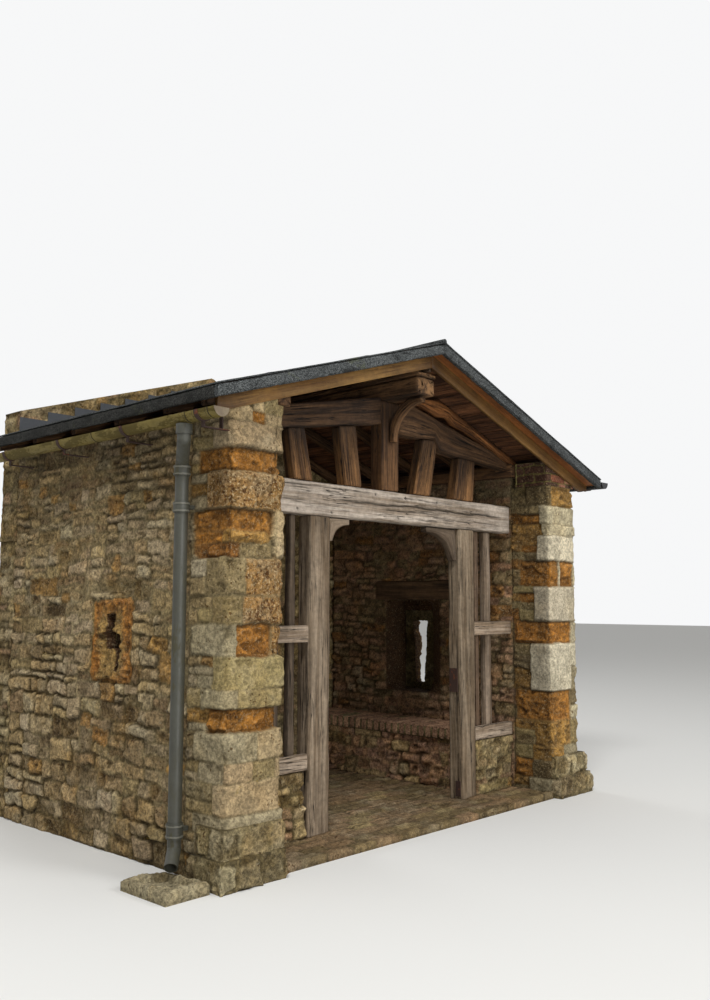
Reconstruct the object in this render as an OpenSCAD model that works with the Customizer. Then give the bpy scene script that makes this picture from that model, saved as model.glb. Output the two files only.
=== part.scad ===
// Church porch: stone side walls, an open timber front and a low gabled roof.
// Millimetres. X runs east, Y runs into the porch, Z is up.
// The origin is on the ground in the middle of the front, in the plane of the timber frame's face.

/* [Masonry] */
// Outer width across both side walls
porch_w = 3980; // [3300:10:4800]
// Depth from the pier fronts to the face of the wall behind
porch_d = 2600; // [2160:10:3200]
// Thickness of the side walls and of the piers that end them
wall_t = 460; // [380:5:560]
// Set-back of the timber front behind the pier fronts
recess = 385; // [300:5:470]
// Thickness of the wall behind
rear_t = 250; // [200:5:400]
// Rise of the wall behind above the roof
rear_up = 170; // [120:5:260]
// Thickness of the paved floor
floor_t = 60; // [40:5:100]
// Spread of the pier feet beyond the piers
foot_out = 90; // [50:5:120]
// Height of the pier feet
foot_h = 340; // [200:5:450]
// Height of the brick head on the east pier, at its outer face
brick_h = 45; // [30:5:120]
// Width of the doorway in the wall behind
rear_door_w = 1150; // [900:10:1300]
// Height of the doorway in the wall behind
rear_door_h = 2100; // [1900:10:2250]

/* [Benches] */
// Depth of each bench from wall to front edge
bench_d = 470; // [350:5:520]
// Height of each bench to the top of its coping
bench_h = 560; // [420:5:620]
// Height of the brick-on-edge coping
coping_h = 105; // [60:5:120]
// Gap between the timber front and the benches
bench_gap = 330; // [250:5:400]

/* [Slit windows] */
// Distance of the west slit's centre behind the timber front
slit_y = 850; // [700:5:1000]
// Height of the west slit
slit_h = 400; // [280:5:450]
// Height of the west slit's sill
slit_z = 1190; // [1000:5:1300]
// Distance of the east slit's centre behind the timber front
east_slit_y = 1320; // [1200:5:1400]
// Height of the east slit
east_slit_h = 610; // [480:5:650]
// Height of the east slit's sill
east_slit_z = 840; // [800:5:1000]
// Width of both slits
slit_w = 185; // [120:5:220]
// Width of the dressed stone round a slit
surround_w = 475; // [400:5:560]
// Height of the dressed stone above a slit and below it
surround_edge = 100; // [80:5:150]
// Thickness of the dressed stone
surround_t = 130; // [90:5:160]
// Width of the splayed recess at the inner face
splay_w = 680; // [500:5:720]

/* [Timber front] */
// Height of the underside of the lintel
post_h = 2235; // [2000:5:2700]
// Depth of the lintel
lintel_h = 247; // [180:1:300]
// Thickness of the frame's timbers from front to back
frame_t = 135; // [100:5:180]
// Clear width between the posts
door_w = 1511; // [1250:1:1820]
// Distance of the doorway's middle to the east of the centre line
door_off = 20; // [-40:5:60]
// Face width of each post
post_w = 212; // [160:2:255]
// Face width of the king post
king_w = 212; // [160:2:255]
// Face width of the studs
stud_w = 190; // [150:2:228]
// Rise of the gable from the lintel's top to the ridge
gable_rise = 1070; // [900:5:1284]
// Height of the middle rails' underside
mid_rail_z = 1350; // [1200:5:1500]
// Height of the lower rails' underside and of the stone sills
low_rail_z = 485; // [350:5:600]
// Depth of the rails
rail_h = 124; // [90:2:150]

/* [Roof] */
// Distance of the ridge to the west of the centre line
ridge_off = 85; // [0:5:150]
// Slope of the west side in degrees
west_pitch = 17.4; // [14:0.1:20.9]
// Slope of the east side in degrees
east_pitch = 19.4; // [16:0.1:22]
// Overhang of the eaves beyond the side walls
eaves_out = 215; // [150:5:260]
// Overhang of the verges beyond the pier fronts
verge_out = 150; // [110:5:200]
// Depth of the common rafters, measured upright
rafter_h = 95; // [75:5:120]
// Width of the ridge beam
ridge_w = 212; // [150:2:260]
// Depth of the ridge beam
ridge_beam_h = 138; // [110:2:170]
// Depth of the verge and eaves bands
band_h = 84; // [60:2:110]
// Depth of the barge boards
barge_h = 100; // [70:5:130]

/* [Rainwater goods] */
// Width of the half-round gutters
gutter_w = 112; // [90:2:130]
// Outside diameter of the downpipe
pipe_d = 82; // [60:2:100]
// Distance of the downpipe's axis from the west wall
pipe_off = 90; // [70:5:120]

/* [Hidden] */
$fn = 48;

// Each side of the porch is drawn as the east side, and the west side is its mirror image.
WEST = -1;
EAST = 1;

half_w = porch_w / 2;
inner_x = half_w - wall_t;
pier_y = -recess;
rear_y = porch_d - recess;
lintel_z = post_h + lintel_h;
ridge_z = lintel_z + gable_rise;
ridge_x = -ridge_off;
verge_y = pier_y - verge_out;
eave_x = half_w + eaves_out;
band_t = 45;

// Layers of the roof, measured straight down from its upper surface
cover_t = 12;
board_t = 24;
boards_top = cover_t;
rafter_top = boards_top + board_t;
rafter_foot = rafter_top + rafter_h;

ridge_beam_drop = 241;
ridge_beam_z = ridge_z - ridge_beam_drop - ridge_beam_h;
stone_z = low_rail_z;

oak = [0.36, 0.27, 0.2];
silver_oak = [0.6, 0.56, 0.5];
new_wood = [0.66, 0.45, 0.2];
stone = [0.68, 0.6, 0.45];
orange_stone = [0.68, 0.43, 0.2];
brick = [0.5, 0.27, 0.2];
felt = [0.35, 0.37, 0.38];
lead = [0.45, 0.5, 0.55];
plastic = [0.4, 0.42, 0.42];
iron = [0.2, 0.15, 0.13];

function pitch(s) = s < 0 ? west_pitch : east_pitch;
// Distance of the ridge from the centre line, seen from one side
function ridge_at(s) = s * ridge_x;
// Height of the roof's upper surface at distance x from the centre line on side s, less a drop
function roof_z(s, x, drop = 0) = ridge_z - abs(x - ridge_at(s)) * tan(pitch(s)) - drop;
function lerp(a, b, t) = a + (b - a) * t;
function side(s) = s < 0 ? 0 : 1;

// An upright slice in the XZ plane becomes a solid from y0 to y1.
module across(y0, y1) translate([0, y1, 0]) rotate([90, 0, 0]) linear_extrude(y1 - y0) children();
module on(s) if (s < 0) mirror([1, 0, 0]) children(); else children();
module block(x0, x1, y0, y1, z0, z1) translate([x0, y0, z0]) cube([x1 - x0, y1 - y0, z1 - z0]);

// A strip that follows the roof's slope on one side between two drops below its surface
module slope_strip(s, x0, x1, drop0, drop1) polygon([
    [x0, roof_z(s, x0, drop0)], [x1, roof_z(s, x1, drop0)],
    [x1, roof_z(s, x1, drop1)], [x0, roof_z(s, x0, drop1)]]);

// Wall plate: seated in a rebate in the wall's inner top edge
plate_w = 125;
plate_h = 80;
plate_in = 40;

plate_back = inner_x + plate_w - plate_in;
function plate_seat(s) = roof_z(s, plate_back, rafter_foot) - plate_h;
// The west plate runs to the pier's front, and the east one stops behind the brick head.
module plate(s) across(s < 0 ? pier_y : brick_y, rear_y) polygon([
    [inner_x - plate_in, plate_seat(s)], [plate_back, plate_seat(s)],
    [plate_back, roof_z(s, plate_back, rafter_foot)],
    [inner_x - plate_in, roof_z(s, inner_x - plate_in, rafter_foot)]]);

// Cutters reach this far past the face that they open
past = 10;
// Gap between pieces that are seated on a curve
seat = 0.3;

// Slits: middle, sill and height on each side
function slit_mid(s) = s < 0 ? slit_y : east_slit_y;
function slit_sill(s) = s < 0 ? slit_z : east_slit_z;
function slit_head(s) = slit_sill(s) + (s < 0 ? slit_h : east_slit_h);

// Splayed recess through a side wall, narrow outside and wide inside, with a timber lintel over it.
// The east one is splayed more towards the front.
recess_below = 60;
recess_above = 200;
recess_edge = 60;
splay_skew = [0, 175];
recess_lintel_h = 190;
recess_lintel_w = splay_w + 260;
recess_lintel_d = 140;
function recess_mid(s) = slit_mid(s) - splay_skew[side(s)];
function recess_z(s) = slit_sill(s) - recess_below;
function recess_top(s) = slit_head(s) + recess_above;
module recess_cut(s) {
    back_x = half_w - surround_t;
    back_half = surround_w / 2 - recess_edge;
    translate([0, 0, recess_z(s)]) linear_extrude(recess_top(s) - recess_z(s)) polygon([
        [inner_x - past, recess_mid(s) - splay_w / 2], [back_x, slit_mid(s) - back_half],
        [back_x, slit_mid(s) + back_half], [inner_x - past, recess_mid(s) + splay_w / 2]]);
}
module surround_block(s, reach = 0)
    block(half_w - surround_t, half_w + reach, slit_mid(s) - surround_w / 2, slit_mid(s) + surround_w / 2,
        slit_sill(s) - surround_edge, slit_head(s) + surround_edge);
module recess_lintel(s, reach = 0)
    block(inner_x - reach, inner_x + recess_lintel_d, recess_mid(s) - recess_lintel_w / 2,
        recess_mid(s) + recess_lintel_w / 2, recess_top(s), recess_top(s) + recess_lintel_h);

// Outline of a wall, with the rebate for the plate at its inner top edge
function wall_outline(s) = [[inner_x, 0], [half_w, 0], [half_w, roof_z(s, half_w, rafter_foot)],
    [plate_back, roof_z(s, plate_back, rafter_foot)], [plate_back, plate_seat(s)], [inner_x, plate_seat(s)]];

module side_wall(s) difference() {
    across(pier_y, rear_y) polygon(wall_outline(s));
    recess_cut(s);
    surround_block(s, past);
    recess_lintel(s, past);
    if (s > 0) block(inner_x - past, half_w + past, pier_y - past, brick_y, brick_z, ridge_z);
}

module west_wall() color(stone) on(WEST) side_wall(WEST);
module east_wall() color(stone) on(EAST) side_wall(EAST);

// Brick head of the east pier, standing on the stone below
brick_d = 340;
brick_y = pier_y + brick_d;
brick_z = roof_z(EAST, half_w, rafter_foot) - brick_h;
module east_brick_head() color(brick) across(pier_y, brick_y) polygon([
    [inner_x, brick_z], [half_w, brick_z], [half_w, roof_z(EAST, half_w, rafter_foot)],
    [inner_x, roof_z(EAST, inner_x, rafter_foot)]]);

// Wall behind the porch, split beside and over its doorway
rear_back = rear_y + rear_t;
module rear_wall() color(stone) for (s = [WEST, EAST]) on(s)
    block(rear_door_w / 2, half_w, rear_y, rear_back, 0, rear_door_h);
rear_lintel_h = 180;
rear_bear = 200;
rear_lintel_x = rear_door_w / 2 + rear_bear;
module rear_door_lintel() color(silver_oak)
    block(-rear_lintel_x, rear_lintel_x, rear_y, rear_back, rear_door_h, rear_door_h + rear_lintel_h);
module rear_gable() color(stone) difference() {
    across(rear_y, rear_back) polygon([[-half_w, rear_door_h], [half_w, rear_door_h],
        [half_w, roof_z(EAST, half_w, -rear_up)], [ridge_x, ridge_z + rear_up],
        [-half_w, roof_z(WEST, half_w, -rear_up)]]);
    block(-rear_lintel_x, rear_lintel_x, rear_y - past, rear_back + past,
        rear_door_h - past, rear_door_h + rear_lintel_h);
}

module floor_paving() color(stone) difference() {
    block(-inner_x, inner_x, pier_y, rear_y, 0, floor_t);
    for (s = [WEST, EAST]) on(s) {
        block(post_in(s), inner_x + past, 0, frame_t, -past, floor_t + past);
        block(bench_front, inner_x + past, bench_gap, rear_y + past, -past, floor_t + past);
    }
}

// Rough spreading feet under the pier fronts
foot_d = 270;
module pier_feet() color(stone) for (s = [WEST, EAST]) on(s) difference() {
    block(inner_x, half_w + foot_out, pier_y - foot_out, pier_y + foot_d, 0, foot_h);
    block(inner_x - past, half_w, pier_y, pier_y + foot_d + past, -past, foot_h + past);
}

// Dressed stone with a worn keyhole slit: a round eye over a narrower slot
slit_waist = 0.6;
module slit_surround(s) color(orange_stone) on(s) difference() {
    surround_block(s);
    eye_z = slit_head(s) - slit_w / 2;
    slot_w = slit_w * slit_waist;
    translate([half_w + past, slit_mid(s), 0]) rotate([0, -90, 0]) linear_extrude(surround_t + 2 * past) {
        translate([slit_sill(s), -slot_w / 2]) square([eye_z - slit_sill(s), slot_w]);
        translate([eye_z, 0]) circle(d = slit_w);
    }
}
module west_slit_surround() slit_surround(WEST);
module east_slit_surround() slit_surround(EAST);

module recess_lintels() color(oak) for (s = [WEST, EAST]) on(s) recess_lintel(s);

// Stone benches along the side walls with a brick-on-edge coping
coping_lip = 15;
bench_front = inner_x - bench_d;
module bench(s) color(stone) on(s)
    block(bench_front + coping_lip, inner_x, bench_gap, rear_y, 0, bench_h - coping_h);
module bench_copings() color(brick) for (s = [WEST, EAST]) on(s)
    block(bench_front, inner_x, bench_gap - coping_lip, rear_y, bench_h - coping_h, bench_h);
module west_bench() bench(WEST);
module east_bench() bench(EAST);

// Inner and outer faces of the posts, seen from one side
function post_in(s) = door_w / 2 + s * door_off;
function post_out(s) = post_in(s) + post_w;
function side_light(s) = inner_x - post_out(s);

module sills() color(stone) for (s = [WEST, EAST]) on(s)
    block(post_out(s), inner_x, 0, frame_t, 0, stone_z);

module lintel_beam() color(silver_oak) block(-inner_x, inner_x, 0, frame_t, post_h, lintel_z);

module post(s) color(silver_oak) on(s) block(post_in(s), post_out(s), 0, frame_t, 0, post_h);
module west_post() post(WEST);
module east_post() post(EAST);

// Head brace with a hollow curve below it
brace_run = [222, 392];
brace_drop = [168, 262];
brace_t = 70;
brace_y = 30;
brace_nose = 45;
// The hollow is a circle through the two blunt ends, with this share of their distance as its depth
brace_hollow = 0.16;
module head_brace(run, drop, x) difference() {
    translate([x - run, post_h - drop]) square([run, drop]);
    ends = [run - brace_nose, drop - brace_nose];
    chord = norm(ends);
    radius = chord / 8 / brace_hollow + chord * brace_hollow / 2;
    middle = [x - run, post_h - drop] + ends / 2;
    away = [-ends[1], -ends[0]] / chord;
    translate(middle + away * (radius - chord * brace_hollow)) circle(r = radius, $fn = 96);
}
module head_braces() color(silver_oak) for (s = [WEST, EAST]) on(s) across(brace_y, brace_y + brace_t)
    head_brace(brace_run[side(s)], brace_drop[side(s)], post_in(s));

// Rails stand flush with the posts, and the mullions pass behind them
rail_t = 50;
rail_y = 5;
module side_rails() color(silver_oak) for (s = [WEST, EAST], z = [low_rail_z, mid_rail_z]) on(s)
    block(post_out(s), inner_x, rail_y, rail_y + rail_t, z, z + rail_h);

mullion_t = 60;
// Widths and places of the mullions as shares of a side light's width
mullion_share = [0.1102, 0.1867];
mullion_at = [0.19, 0.48];
mean_light = inner_x - door_w / 2 - post_w;
mullion_y = rail_y + rail_t;
module side_mullions() color(oak) for (s = [WEST, EAST], i = [0, 1]) on(s) {
    x = post_out(s) + mullion_at[i] * side_light(s);
    half = mullion_share[i] * mean_light / 2;
    block(x - half, x + half, mullion_y, mullion_y + mullion_t, stone_z, post_h);
}

module king_post() color(oak)
    block(ridge_x - king_w / 2, ridge_x + king_w / 2, 0, frame_t, lintel_z, ridge_beam_z);

// Curved brace from the king post forward to the ridge beam
king_brace_w = 70;
king_brace_run = 320;
king_brace_d = 75;
king_brace_heel = 28;
module king_brace() color(oak) translate([ridge_x - king_brace_w / 2, 0, ridge_beam_z]) rotate([90, 0, 90])
    linear_extrude(king_brace_w) intersection() {
        translate([-king_brace_run, -king_brace_run]) square(king_brace_run);
        translate([-king_brace_run, -king_brace_run]) difference() {
            circle(r = king_brace_run + king_brace_heel, $fn = 96);
            circle(r = king_brace_run + king_brace_heel - king_brace_d, $fn = 96);
        }
    }

function back(list) = [for (i = [len(list) - 1:-1:0]) list[i]];
function king_side(s) = king_w / 2 + s * ridge_x;
function beam_side(s) = ridge_w / 2 + s * ridge_x;

// Crooked rafters over the frame, from the ridge to the wall plate: at each share of the length, how far
// the top and the underside hang below those of an ordinary rafter. The east one dips to the ridge beam.
crooked_top = [[[0, 0], [1, 0]], [[0, 210], [0.19, 108], [0.328, 7], [0.4, 0], [1, 0]]];
crooked_foot = [[[0, 4], [0.2, 19], [0.45, -13], [0.7, 3], [0.95, 0], [1, 0]],
    [[0, 196], [0.19, 78], [0.328, 66], [0.426, 5], [0.469, 34], [0.587, 2], [0.755, -9], [0.93, 0], [1, 0]]];
function crooked_line(s, shares, drop) = [for (p = shares)
    let (x = lerp(beam_side(s), inner_x, p[0])) [x, roof_z(s, x, drop + p[1])]];
module crooked_outline(s) {
    polygon(concat(crooked_line(s, crooked_top[side(s)], rafter_top),
        back(crooked_line(s, crooked_foot[side(s)], rafter_foot))));
    slope_strip(s, inner_x, eave_x - band_t, rafter_top, rafter_foot);
    if (s < 0) slope_strip(s, ridge_at(s) + ridge_board_x, beam_side(s), rafter_top, rafter_foot);
}

// Principals run from the king post to the pier's jamb, and are notched for the wall plates and the
// crooked rafters. The drops below the roof are at the king post and at the jamb.
principal_top = [[314, 176], [278, 93]];
// Depth of each principal at shares of its length
principal_deep = [[[0, 225], [1, 153]],
    [[0, 302], [0.15, 255], [0.3, 188], [0.34, 258], [0.525, 215], [0.72, 155], [1, 85]]];
function principal_x(s, share) = lerp(king_side(s), inner_x, share);
function principal_z(s, share) = lerp(roof_z(s, king_side(s), principal_top[side(s)][0]),
    roof_z(s, inner_x, principal_top[side(s)][1]), share);
function principal_under(s) = [for (p = principal_deep[side(s)])
    [principal_x(s, p[0]), principal_z(s, p[0]) - p[1]]];
module principal(s) color(oak) on(s) difference() {
    across(0, frame_t) difference() {
        polygon(concat([for (share = [0, 1]) [principal_x(s, share), principal_z(s, share)]],
            back(principal_under(s))));
        crooked_outline(s);
    }
    plate(s);
}
module west_principal() principal(WEST);
module east_principal() principal(EAST);

// Raking studs between the lintel and the principal: place of the foot as a share of the principal's
// length, lean, and widths of foot and top as shares of the stud's width, for the inner and the outer one
stud_at = [[0.217, 0.6], [0.2, 0.564]];
stud_lean = [[68, 72], [100, 54]];
stud_foot = [[1, 1.02], [1.2, 1.47]];
stud_top = [[1.02, 0.9], [1.02, 1.28]];
stud_back = 15;
module stud_outline(foot_x, top_x, foot_half, top_half, rise, past_top) {
    slant = past_top / rise;
    polygon([[foot_x - foot_half, lintel_z], [foot_x + foot_half, lintel_z],
        [lerp(foot_x + foot_half, top_x + top_half, slant), lintel_z + past_top],
        [lerp(foot_x - foot_half, top_x - top_half, slant), lintel_z + past_top]]);
}
module studs(s) color(oak) on(s) across(stud_back, frame_t - stud_back) difference() {
    for (i = [0, 1]) {
        share = stud_at[side(s)][i];
        foot_x = principal_x(s, share);
        top_x = foot_x + stud_lean[side(s)][i];
        stud_outline(foot_x, top_x, stud_w * stud_foot[side(s)][i] / 2, stud_w * stud_top[side(s)][i] / 2,
            principal_z(s, share) - lookup(share, principal_deep[side(s)]) - lintel_z,
            principal_z(s, share) - lintel_z);
    }
    polygon(concat(principal_under(s), [[inner_x, ridge_z], [king_side(s), ridge_z]]));
}
module west_studs() studs(WEST);
module east_studs() studs(EAST);

// Ridge beam from its end in front of the frame to the wall behind
ridge_front = -348;
ridge_beam_top = ridge_beam_z + ridge_beam_h;
module ridge_beam() color(oak)
    block(ridge_x - ridge_w / 2, ridge_x + ridge_w / 2, ridge_front, rear_y, ridge_beam_z, ridge_beam_top);

// Board lying on the ridge beam, a little wider and longer at the front
ridge_cap_t = 35;
ridge_cap_lip = 4;
ridge_cap_top = ridge_beam_top + ridge_cap_t;
ridge_cap_x = ridge_w / 2 + ridge_cap_lip;
module ridge_cap() color(silver_oak) block(ridge_x - ridge_cap_x, ridge_x + ridge_cap_x,
    ridge_front - 2 * ridge_cap_lip, rear_y, ridge_beam_top, ridge_cap_top);

// Board on edge between the ridge cap and the roof boards, with the rafters against its sides
ridge_board_w = 50;
ridge_board_x = ridge_board_w / 2;
module ridge_board() color(oak) translate([ridge_x, 0, 0]) across(pier_y, rear_y) polygon([
    [-ridge_board_x, ridge_cap_top], [ridge_board_x, ridge_cap_top],
    [ridge_board_x, ridge_z - rafter_top - ridge_board_x * tan(east_pitch)], [0, ridge_z - rafter_top],
    [-ridge_board_x, ridge_z - rafter_top - ridge_board_x * tan(west_pitch)]]);

module wall_plates() color(oak) for (s = [WEST, EAST]) on(s) plate(s);

// Common rafters: one behind the barge board, the crooked one over the frame, the rest evenly behind it
rafter_w = 75;
rafter_n = 4;
rafter_y = concat([pier_y], [for (i = [1:rafter_n]) i * (rear_y - rafter_w) / rafter_n]);
module rafters(s) color(oak) on(s) {
    for (y = rafter_y) across(y, y + rafter_w)
        slope_strip(s, ridge_at(s) + ridge_board_x, eave_x - band_t, rafter_top, rafter_foot);
    across(0, rafter_w) crooked_outline(s);
}
module west_rafters() rafters(WEST);
module east_rafters() rafters(EAST);

// Bands along the eaves and verges, with the roof boards between them
module roof_boards(s) color(oak) on(s) across(verge_y + band_t, rear_y)
    slope_strip(s, ridge_at(s), eave_x - band_t, boards_top, rafter_top);
module west_roof_boards() roof_boards(WEST);
module east_roof_boards() roof_boards(EAST);

// The barge boards hang from the soffits, which close the overhang from below
barge_t = 26;
soffit_t = 12;
soffit_drop = 66;
module soffits() color(new_wood) for (s = [WEST, EAST]) on(s) across(verge_y + band_t, pier_y)
    slope_strip(s, ridge_at(s), eave_x - band_t, soffit_drop, soffit_drop + soffit_t);
// The west barge board stops short of the gutter.
function barge_end(s) = s < 0 ? gutter_x(s) - gutter_w / 2 - 2 * gutter_iron : eave_x - band_t;
module barge_boards() color(new_wood) for (s = [WEST, EAST]) on(s) across(pier_y - barge_t, pier_y)
    slope_strip(s, ridge_at(s), barge_end(s), soffit_drop + soffit_t, soffit_drop + soffit_t + barge_h);

module verge(s) color(felt) on(s) {
    across(verge_y, verge_y + band_t) slope_strip(s, ridge_at(s), eave_x, boards_top, boards_top + band_h);
    across(verge_y + band_t, rear_y) slope_strip(s, eave_x - band_t, eave_x, boards_top, boards_top + band_h);
}
module west_verge() verge(WEST);
module east_verge() verge(EAST);

module roof_cover(s) color(felt) on(s) across(verge_y, rear_y)
    slope_strip(s, ridge_at(s), eave_x, 0, cover_t);
module west_roof_cover() roof_cover(WEST);
module east_roof_cover() roof_cover(EAST);

roll_r = 22;
module ridge_roll() color(felt) across(verge_y, rear_y - apron_w) difference() {
    translate([ridge_x, ridge_z]) circle(r = roll_r);
    polygon([[ridge_x - 2 * roll_r, roof_z(WEST, -ridge_x + 2 * roll_r)], [ridge_x, ridge_z],
        [ridge_x + 2 * roll_r, roof_z(EAST, ridge_x + 2 * roll_r)],
        [ridge_x + 2 * roll_r, ridge_z - 3 * roll_r], [ridge_x - 2 * roll_r, ridge_z - 3 * roll_r]]);
}

// Half-round gutters: the west one hangs below the eaves band, and the east one stands in front of it
gutter_t = 4;
gutter_iron = 6;
gutter_iron_w = 30;
gutter_out = [-28, gutter_w / 2 + gutter_iron];
gutter_drop = [147, 30];
gutter_end = 5;
collar_y = [-470, -345, -256, 760];
collar_w = 22;
collar_t = 3;
function gutter_x(s) = eave_x + gutter_out[side(s)];
function gutter_z(s) = roof_z(s, eave_x, gutter_drop[side(s)]);
module half_ring(outer, inner) difference() {
    intersection() {
        circle(d = outer);
        translate([-outer, -outer]) square([2 * outer, outer]);
    }
    if (inner > 0) circle(d = inner);
}
module gutter(s) color(plastic) on(s) {
    at = [gutter_x(s), gutter_z(s)];
    across(verge_y, rear_y) translate(at) half_ring(gutter_w, gutter_w - 2 * gutter_t);
    for (y = [verge_y, rear_y - gutter_end]) across(y, y + gutter_end) translate(at) half_ring(gutter_w, 0);
    if (s < 0) for (y = collar_y) across(y, y + collar_w) translate(at)
        half_ring(gutter_w + 2 * collar_t, gutter_w - 1);
}
module west_gutter() gutter(WEST);
module east_gutter() gutter(EAST);

// Straps under both gutters. On the west each is carried by a flat iron from the wall, and the first iron
// also hangs from the front rafter.
iron_n = 4;
iron_first = 5;
iron_last = 260;
ledge_drop = 34;
hanger_out = 50;
function iron_y(i) = lerp(pier_y + iron_first, rear_y - iron_last, i / (iron_n - 1));
module gutter_strap(s, y) across(y, y + gutter_iron_w) translate([gutter_x(s), gutter_z(s)])
    half_ring(gutter_w + 2 * gutter_iron, gutter_w);
module gutter_ledge(x, bottom_z, y) {
    ledge_z = bottom_z - ledge_drop;
    block(half_w, x + gutter_iron / 2, y, y + gutter_iron_w, ledge_z - gutter_iron, ledge_z);
    block(x - gutter_iron / 2, x + gutter_iron / 2, y, y + gutter_iron_w, ledge_z, bottom_z - 1);
}
module gutter_hanger(x, y) across(y, y + gutter_iron_w) polygon([
    [x, gutter_z(WEST) - gutter_w / 2 - ledge_drop], [x, roof_z(WEST, x, rafter_foot)],
    [x + gutter_iron, roof_z(WEST, x + gutter_iron, rafter_foot)],
    [x + gutter_iron, gutter_z(WEST) - gutter_w / 2 - ledge_drop]]);
module gutter_irons() color(iron) for (s = [WEST, EAST]) on(s) {
    for (i = [0:iron_n - 1]) {
        gutter_strap(s, iron_y(i));
        if (s < 0) gutter_ledge(gutter_x(s), gutter_z(s) - gutter_w / 2, iron_y(i));
    }
    if (s < 0) gutter_hanger(half_w + hanger_out, iron_y(0));
}

// Downpipe on the west wall: outlet, swan neck, ribbed sockets, clips and shoe
pipe_y = -40;
pipe_x = -half_w - pipe_off;
outlet_y = -182;
socket_d = pipe_d + 16;
outlet_top = gutter_z(WEST) - gutter_w / 2 - seat;
outlet_h = 60;
neck_top = outlet_top - 95;
neck_low = outlet_top - 215;
shoe_z = 190;
toe_out = [-75, -75, -80];
// Share of the toe's length that its bore leaves solid at the bend
toe_solid = 0.53;
toe_wall = 5;
rib = 4;
rib_h = 9;
clip_w = 28;
clip_h = 25;
// A round bar from a to b
module rod(a, b, d) {
    v = b - a;
    translate(a) rotate([0, acos(v[2] / norm(v)), atan2(v[1], v[0])]) cylinder(d = d, h = norm(v));
}
// A socket with two ribs, standing on z
module socket(z, h = 66) translate([pipe_x, pipe_y, z]) {
    cylinder(d = socket_d, h = h);
    for (share = [0.12, 0.78]) translate([0, 0, share * h]) cylinder(d = socket_d + 2 * rib, h = rib_h);
}
// Rounded joint between two lengths of pipe
module elbow(at) translate(at) sphere(d = pipe_d + 1);
module downpipe() color(plastic) {
    outlet = [-gutter_x(WEST), outlet_y, outlet_top];
    bend = [outlet[0], outlet[1], neck_top];
    knee = [pipe_x, pipe_y, neck_low];
    foot = [pipe_x, pipe_y, shoe_z];
    rod(outlet, outlet - [0, 0, outlet_h], socket_d);
    rod(outlet, bend, pipe_d);
    elbow(bend);
    rod(bend, knee, pipe_d);
    elbow(knee);
    rod(knee, foot, pipe_d);
    socket(neck_low - 75);
    socket(neck_low - 300);
    socket(shoe_z + 60, 90);
    elbow(foot);
    difference() {
        rod(foot, foot + toe_out, pipe_d);
        rod(foot + toe_out * toe_solid, foot + toe_out * 1.1, pipe_d - 2 * toe_wall);
    }
    for (z = [neck_low - 275, shoe_z + 95])
        block(pipe_x, -half_w, pipe_y - clip_w / 2, pipe_y + clip_w / 2, z, z + clip_h);
}

// Stone tray below the shoe, against the foot of the west pier
tray_w = 300;
tray_d = 430;
tray_h = 75;
tray_rim = 45;
tray_bed = 30;
tray_x = -half_w - foot_out - tray_w;
tray_y = pipe_y - 340;
module gully_tray() color(stone) translate([tray_x, tray_y, 0]) difference() {
    cube([tray_w, tray_d, tray_h]);
    translate([tray_rim, tray_rim, tray_bed]) cube([tray_w - 2 * tray_rim, tray_d - 2 * tray_rim, tray_h]);
}

// Stepped sheet against the wall behind, with its apron on the roof
flash_t = 5;
apron_w = 150;
flash_steps = 8;
flash_up = 45;
module rear_flashing() color(lead) for (s = [WEST, EAST]) on(s) {
    across(rear_y - apron_w, rear_y) slope_strip(s, ridge_at(s), half_w, -flash_t, 0);
    for (i = [0:flash_steps - 1]) {
        x0 = lerp(ridge_at(s), half_w, i / flash_steps);
        x1 = lerp(ridge_at(s), half_w, (i + 1) / flash_steps);
        across(rear_y - flash_t, rear_y) polygon([
            [x0, roof_z(s, x0, -flash_t)], [x1, roof_z(s, x1, -flash_t)],
            [x1, roof_z(s, x0, -flash_up)], [x0, roof_z(s, x0, -flash_up)]]);
    }
}

// Latch keep and strap on the doorway side of the east post: thickness, front and back, foot and head of each
latch_keep = [8, 30, 110, 900, 1092];
post_strap = [6, 10, 60, 70, 190];
module post_irons() color(iron) for (iron_at = [latch_keep, post_strap])
    block(post_in(EAST) - iron_at[0], post_in(EAST), iron_at[1], iron_at[2], iron_at[3], iron_at[4]);

west_wall();
east_wall();
rear_wall();
rear_gable();
rear_door_lintel();
floor_paving();
pier_feet();
east_brick_head();
west_slit_surround();
east_slit_surround();
recess_lintels();
west_bench();
east_bench();
bench_copings();
sills();
lintel_beam();
west_post();
east_post();
head_braces();
side_rails();
side_mullions();
king_post();
king_brace();
west_principal();
east_principal();
west_studs();
east_studs();
ridge_beam();
ridge_cap();
ridge_board();
wall_plates();
west_rafters();
east_rafters();
west_roof_boards();
east_roof_boards();
barge_boards();
soffits();
west_verge();
east_verge();
west_roof_cover();
east_roof_cover();
ridge_roll();
west_gutter();
east_gutter();
gutter_irons();
downpipe();
gully_tray();
rear_flashing();
post_irons();
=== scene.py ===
"""Church porch: rubble walls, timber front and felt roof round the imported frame. Metres, Z up."""
import math
from types import SimpleNamespace

import bpy
import numpy as np
from mathutils import Matrix, Vector


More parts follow.
